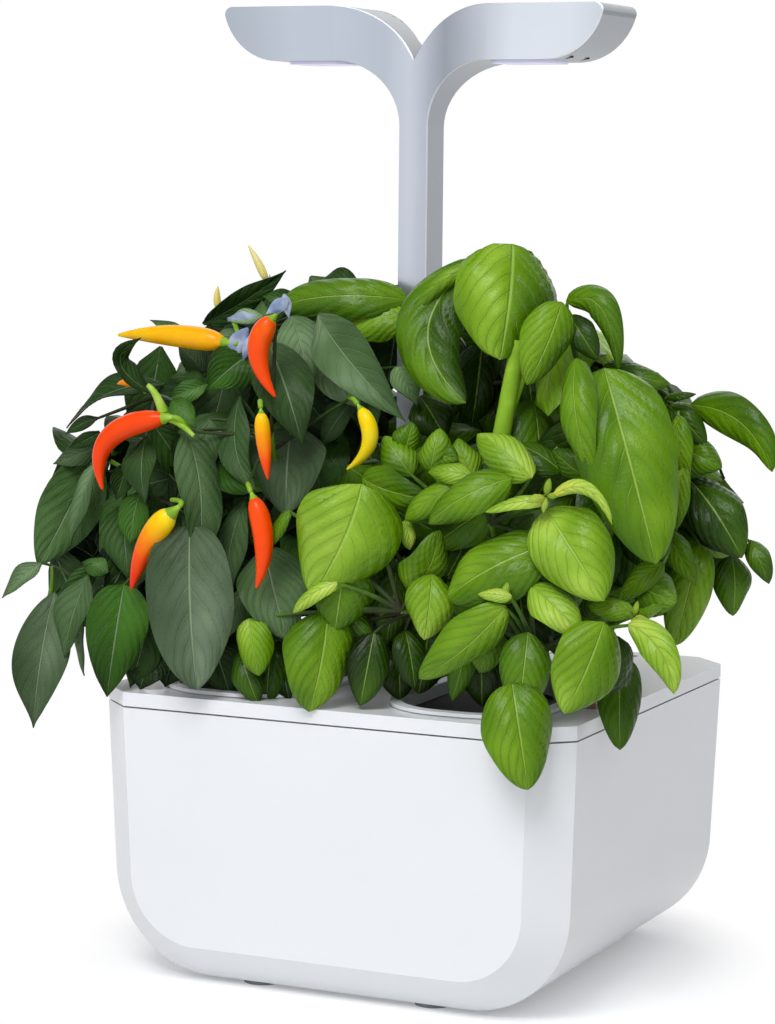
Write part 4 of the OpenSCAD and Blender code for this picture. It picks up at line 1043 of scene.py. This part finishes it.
def placeBranchLeaves(leaves, stems, kind):
    # the leaves round each branch end, which give the plant its form from the sides and the back
    values, stalk = plantValues[kind], leafKinds[kind]
    draw = random.Random(values["seed"] + 50)
    for end, wide, tips in values["branches"]:
        for tip in tips:
            end, tip = Vector(end), Vector(tip)
            base = end.lerp(tip, 0.14)
            tone = draw.uniform(*values["toneRange"]) + 0.08
            twist = draw.uniform(-growthValues["branchTwist"], growthValues["branchTwist"])
            if hidesSeen((base.lerp(tip, 0.15), base.lerp(tip, 0.5), tip)) or overGauge(base, tip, wide * 0.5):
                continue
            if not keepsInside(base, base.lerp(tip, 0.9), upright, wide * 0.8):
                continue
            ahead = (tip - base).normalized()
            addLeaf(
                leaves, kind, base, tip, upright, wide * 0.97, tone, arch=0.11, twist=twist, cells=(8, 16),
                seed=int(wide) + len(tips), fresh=draw.uniform(0, 0.8),
            )
            line = bendPoints(end, base - ahead * 2, base + ahead * 0.6, 5)
            addTube(stems, line, [stalk["stalk"]] * 5, [stalk["stalkTone"]] * 5, sides=6)


def fillLeaf(leaves, stems, kind, roots, base, tip, facing, draw, tone, number):
    # a leaf of a few faces, where it fits; says whether it did
    values, limits = plantValues[kind], growthValues
    middle = (base + tip) / 2
    for p in (base, middle, tip):
        if not (values["low"] <= p.z <= values["high"] and limits["front"] <= p.y <= limits["back"]):
            return False
    if any(abs(p.x) > limits["side"] or p.x * values["side"] < limits["past"] for p in (middle, tip)):
        return False
    if nearMast(base, tip):
        return False
    wide = (tip - base).length * values["slim"] * draw.uniform(0.85, 1.15)
    if not keepsInside(base, tip, facing, wide) or hidesSeen((base, middle, tip)) or overGauge(base, tip, wide):
        return False
    addLeaf(
        leaves, kind, base, tip, facing, wide, tone, arch=draw.uniform(0.05, 0.16), cells=(4, 6), seed=number,
        twist=draw.uniform(-limits["fillTwist"], limits["fillTwist"]), fresh=draw.uniform(0, 0.9),
    )
    # every other filler leaf gets a thin stalk with painted shade
    if number % 2:
        growStalk(stems, kind, roots, base, (tip - base).normalized(), thin=0.8, shade=0.4)
    return True


def drawFiller(draw, values):
    # a leaf somewhere in the plant's crown: its middle, half its length, where it faces, and its tone
    way = Vector((draw.gauss(0, 1), draw.gauss(0, 1), draw.gauss(0.15, 1))).normalized()
    share = draw.uniform(0.35, 0.95)
    spot = Vector(values["middle"]) + Vector([way[i] * values["spread"][i] * share for i in range(3)])
    lean, turn = growthValues["fillLean"], growthValues["fillTurn"]
    side = Vector((way.x + draw.uniform(-lean, lean), way.y + draw.uniform(-lean, lean), draw.uniform(-0.9, 0.1)))
    ahead = side.normalized() * draw.uniform(*values["size"]) / 2
    facing = (Vector((way.x, way.y, 0)) * 0.9 + upright).normalized()
    facing = Matrix.Rotation(math.radians(draw.uniform(-turn, turn)), 3, ahead.normalized()) @ facing
    return spot, ahead, facing, draw.uniform(*values["toneRange"])


def drawShaded(draw, values):
    # a shaded leaf close behind one of those that were placed one by one; its shade is painted, as a darker tone
    pixel, far = draw.choice(values["spots"])[1:3]
    scatter, turn = growthValues["shadeScatter"], growthValues["shadeTurn"]
    pixel = (pixel[0] + draw.gauss(0, scatter), pixel[1] + draw.gauss(0, scatter))
    spot = camPlace + rayThrough(pixel) * (far + draw.uniform(*growthValues["shadeBehind"]))
    lean = math.radians(draw.gauss(0, growthValues["shadeLean"]))
    ahead = (camRight * math.sin(lean) - camUp * math.cos(lean) + camBack * draw.uniform(-0.5, 0.4)).normalized()
    facing = Matrix.Rotation(math.radians(draw.uniform(-turn, turn)), 3, ahead) @ (camBack + upright * 0.5)
    ahead *= draw.uniform(*values["size"]) / 2
    return spot, ahead, facing, draw.uniform(values["toneRange"][0] - 0.04, values["toneRange"][1] - 0.1)


def scatterLeaves(leaves, stems, kind, roots, drawLeaf, seed, wanted, tries):
    values = plantValues[kind] | {"spots": [spot for spot in seenSpots if spot[0] == kind]}
    draw = random.Random(values["seed"] + seed)
    done = tried = 0
    while done < values[wanted] and tried < growthValues[tries]:
        tried += 1
        spot, ahead, facing, tone = drawLeaf(draw, values)
        done += fillLeaf(leaves, stems, kind, roots, spot - ahead, spot + ahead, facing, draw, tone, tried)
    print(kind, wanted, done, "of", tried)


def seenLine(values):
    return [seenAt(pixel, values["depth"]) for pixel in values["line"]]


def placeSprouts(leaves, stems, roots):
    for number, values in enumerate(basilSprouts.values()):
        draw = random.Random(number + 30)
        heart = seenAt(values["at"], values["depth"])
        for i in range(values["count"]):
            lean = 2 * math.pi * (i + draw.uniform(-0.2, 0.2)) / values["count"]
            ahead = camRight * math.cos(lean) + camUp * math.sin(lean) + camBack * draw.uniform(0.1, 1.4)
            ahead = ahead.normalized() * values["long"] * draw.uniform(0.7, 1.1)
            addLeaf(
                leaves, "basil", heart + ahead * 0.08, heart + ahead, camBack + upright * 0.6, ahead.length * 0.5,
                draw.uniform(0.6, 0.9), arch=0.16, cells=(4, 8), seed=i, cup=0.6, fresh=0.6,
            )
        growStalk(stems, "basil", roots, heart, upright)
    for values in basilStems.values():
        line = bendPoints(*seenLine(values), 9)
        addTube(stems, line, [values["radius"] * (0.86 + 0.02 * i) for i in range(9)], [0.76] * 9, sides=12)


# faded petals that still hang about the fruits' stalks, bluish with painted lamp light, and the young twigs between
# them
chilliPetals = {
    "highLeft": {"base": (289, 299), "tip": (266, 314), "wide": 17, "depth": (-80, -84)},
    "highRight": {"base": (284, 294), "tip": (289, 318), "wide": 13, "depth": (-78, -80)},
    "highTip": {"base": (268, 290), "tip": (270, 274), "wide": 7, "depth": (-16, -14)},
    "wideDrop": {"base": (248, 328), "tip": (224, 364), "wide": 22, "depth": (-50, -54)},
    "smallDrop": {"base": (252, 334), "tip": (243, 362), "wide": 12, "depth": (-52, -54)},
    "flatLeft": {"base": (262, 318), "tip": (227, 318), "wide": 15, "depth": (-44, -46)},
}
chilliTwigs = {
    "bud": {"line": ((148, 385), (158, 394), (163, 413)), "depth": -84, "radius": 2.0, "tone": 0.85},
    "spur": {"line": ((194, 436), (178, 420), (166, 417)), "depth": -84, "radius": 1.7, "tone": 0.8},
    "stub": {"line": ((52, 566), (53, 582), (50, 598)), "depth": -83, "radius": 1.2, "tone": 0.45},
}


def hangPetals():
    bm = newPlantMesh()
    for number, values in enumerate(chilliPetals.values()):
        base, tip = (seenAt(values[end], values["depth"][i]) for i, end in enumerate(("base", "tip")))
        wide = values["wide"] * (camPlace - base).length / focalPixels
        addLeaf(bm, "chilli", base, tip, camBack, wide, 0.5, arch=0.15, cells=(6, 10), seed=number, cup=0.5)
    thicken(bm)
    newPiece("chilliPetals", bm, [petalSkinPaintedLampLight], "pod_left", ["chilli_plant"], smoothAngle=60)


fruitProfile = [0.4, 0.8, 0.95, 1.0, 1.0, 0.98, 0.94, 0.88, 0.8, 0.7, 0.58, 0.44, 0.28, 0.1]
calyxProfile = [0.26, 0.34, 0.56, 0.78, 0.86]
calyxPlaces = [-1.1, -0.7, -0.25, 0.15, 0.5]
calyxTones = [0.9, 0.85, 0.75, 0.7, 0.7]


def growFruits(stems, roots):
    # each fruit hangs on a curled green stalk with a small cap
    bm = newPlantMesh()
    for values in chilliFruits.values():
        count = len(fruitProfile)
        start, bend, end = seenLine(values)
        line = bendPoints(start, bend, end, count)
        low, high = values["ripe"]
        ripe = [low + (high - low) * i / (count - 1) for i in range(count)]
        addTube(bm, line, [values["radius"] * s for s in fruitProfile], ripe, sides=16)
        ahead = (line[1] - line[0]).normalized()
        cap = values["radius"] * values.get("cap", 0.5)
        capLine = [start + ahead * cap * s for s in calyxPlaces]
        addTube(stems, capLine, [cap * s for s in calyxProfile], calyxTones, sides=10)
        far = seenAt(*values["stalk"])
        near = start - ahead * cap * 1.05
        addTube(stems, bendPoints(far, near - ahead * (far - near).length * 0.4, near, 7), [0.95] * 7, [0.7] * 7)
        growStalk(stems, "chilli", roots, far, (near - far).normalized())
    bmesh.ops.recalc_face_normals(bm, faces=bm.faces)
    piece = newPiece("chilliFruits", bm, [fruitSkin], "pod_left", ["chilli_fruits"], smoothAngle=60)
    addModifier(piece, "SUBSURF", {"levels": 1, "render_levels": 1})


def growPlant(kind, seenLeaves):
    values = plantValues[kind]
    leaves, stems = newPlantMesh(), newPlantMesh()
    roots = growStems(stems, values)
    for seed, seen in enumerate(seenLeaves.values()):
        placeSeenLeaf(leaves, stems, kind, roots, seen, seed)
    placeBranchLeaves(leaves, stems, kind)
    scatterLeaves(leaves, stems, kind, roots, drawFiller, 0, "fillers", "fillerTries")
    scatterLeaves(leaves, stems, kind, roots, drawShaded, 100, "understory", "shadeTries")
    if kind == "chilli":
        growFruits(stems, roots)
        hangPetals()
        for twig in chilliTwigs.values():
            radii = [twig["radius"] * (0.46 + 0.09 * i) for i in range(7)]
            addTube(stems, bendPoints(*seenLine(twig), 7), radii, [twig["tone"]] * 7, sides=10)
    else:
        placeSprouts(leaves, stems, roots)
    bmesh.ops.recalc_face_normals(stems, faces=stems.faces)
    for face in thicken(leaves):
        if isinstance(face, bmesh.types.BMFace):
            face.material_index = 1
    solid = [kind + "_plant"]
    newPiece(kind + "Leaves", leaves, leafMaterials[kind], values["body"], solid, smoothAngle=70)
    newPiece(kind + "Stems", stems, [stemSkin], values["body"], solid, smoothAngle=60)


growPlant("chilli", chilliLeaves)
growPlant("basil", basilLeaves)
print("plants grown")

# ---- floor, world and lamps

stageValues = {
    "floorSize": 12.0, "clearFrom": 0.1, "clearTo": 0.14, "lift": 0.24,
    "front": (0.05, -0.97, 0.24), "frontStrength": 0.9, "sideStrength": 0.17,
}


def buildFloor(values):
    bm = bmesh.new()
    bmesh.ops.create_grid(bm, x_segments=2, y_segments=2, size=values["floorSize"] / 2)
    # matt white paper sweep that loses itself in white
    material, tree = newMaterial("paperWhiteFloor")
    place = addNode(tree, "TexCoord").outputs["Object"]
    fibre = addNode(tree, "TexNoise", {"Scale": 1 / (2 * mm), "Detail": 2.0}, {"Vector": place})
    bump = addNode(tree, "Bump", {"Strength": 0.1, "Distance": 0.02 * mm}, {"Height": fibre})
    paper = addNode(tree, "BsdfPrincipled", {"Base Color": hexColour("#f2f2f3"), "Roughness": 0.9}, {"Normal": bump})
    path = addNode(tree, "LightPath")
    glossy = addNode(
        tree, "Math", {"operation": "MAXIMUM"}, {0: path.outputs["Is Camera Ray"], 1: path.outputs["Is Glossy Ray"]}
    )
    clear = addNode(tree, "Math", {"operation": "MAXIMUM"}, {0: glossy, 1: path.outputs["Is Transmission Ray"]})
    far = addNode(tree, "VectorMath", {"operation": "LENGTH"}, {0: place})
    fade = addNode(
        tree, "MapRange",
        {"interpolation_type": "SMOOTHSTEP", "From Min": values["clearFrom"], "From Max": values["clearTo"]},
        {"Value": far.outputs["Value"]},
    )
    share = addNode(tree, "Math", {"operation": "MULTIPLY"}, {0: fade, 1: clear})
    lift = addNode(tree, "Math", {"operation": "MULTIPLY", 1: values["lift"]}, {0: clear})
    glow = addNode(tree, "Emission", {"Color": hexColour("#ffffff")}, {"Strength": lift})
    near = addNode(tree, "AddShader", {}, {0: paper, 1: glow})
    white = addNode(tree, "Emission", {"Color": hexColour("#ffffff"), "Strength": 1.0})
    mixed = addNode(tree, "MixShader", {}, {0: share, 1: near, 2: white})
    finishMaterial(tree, mixed)
    floor = newPiece("floor", bm, [material], None)


def buildWorld(values):
    world = bpy.data.worlds.new("studio")
    scene.world = world
    world.use_nodes = True
    tree = world.node_tree
    tree.nodes.clear()
    path = addNode(tree, "LightPath")
    seen = addNode(
        tree, "Math", {"operation": "MAXIMUM"},
        {0: path.outputs["Is Camera Ray"], 1: path.outputs["Is Transmission Ray"]},
    )
    # a large soft source before the object, dimmer round its sides and back
    way = addNode(tree, "TexCoord").outputs["Generated"]
    ahead = addNode(tree, "VectorMath", {"operation": "DOT_PRODUCT", 1: values["front"]}, {0: way})
    # metal and gloss see the white backdrop behind the object as well
    behind = addNode(
        tree, "MapRange", {"interpolation_type": "SMOOTHSTEP", "From Min": 0.2, "From Max": -0.4},
        {"Value": ahead.outputs["Value"]},
    )
    mirrored = addNode(tree, "Math", {"operation": "MULTIPLY"}, {0: path.outputs["Is Glossy Ray"], 1: behind})
    clear = addNode(tree, "Math", {"operation": "MAXIMUM"}, {0: seen, 1: mirrored})
    spread = addNode(
        tree, "MapRange",
        {"interpolation_type": "SMOOTHSTEP", "From Min": 0.1, "From Max": 0.95, "To Min": values["sideStrength"],
         "To Max": values["frontStrength"]},
        {"Value": ahead.outputs["Value"]},
    )
    soft = addNode(tree, "Background", {"Color": hexColour("#f6f8fc")}, {"Strength": spread})
    white = addNode(tree, "Background", {"Color": hexColour("#ffffff"), "Strength": 1.0})
    mixed = addNode(tree, "MixShader", {}, {0: clear, 1: soft, 2: white})
    addNode(tree, "OutputWorld", {}, {"Surface": mixed})


lampValues = {
    "keyLight": {"azimuth": 6, "elevation": 48, "distance": 1.6, "size": 0.8, "power": 13.5},
    "fillLight": {"azimuth": 62, "elevation": 30, "distance": 1.9, "size": 1.2, "power": 0.5},
    "backLight": {"azimuth": 172, "elevation": 40, "distance": 1.7, "size": 2.0, "power": 10},
}
lampAim = 0.17  # m, the height that every lamp points at


def addLamp(name, values):
    data = bpy.data.lights.new(name, "AREA")
    data.shape = "DISK"
    data.size = values["size"]
    data.energy = values["power"]
    lamp = bpy.data.objects.new(name, data)
    scene.collection.objects.link(lamp)
    way = wayTo(values)
    place = Matrix.Translation(upright * lampAim + way * values["distance"])
    lamp.matrix_world = place @ way.to_track_quat("Z", "Y").to_matrix().to_4x4()


buildFloor(stageValues)
buildWorld(stageValues)
for name, values in lampValues.items():
    addLamp(name, values)
print("stage and lamps set")
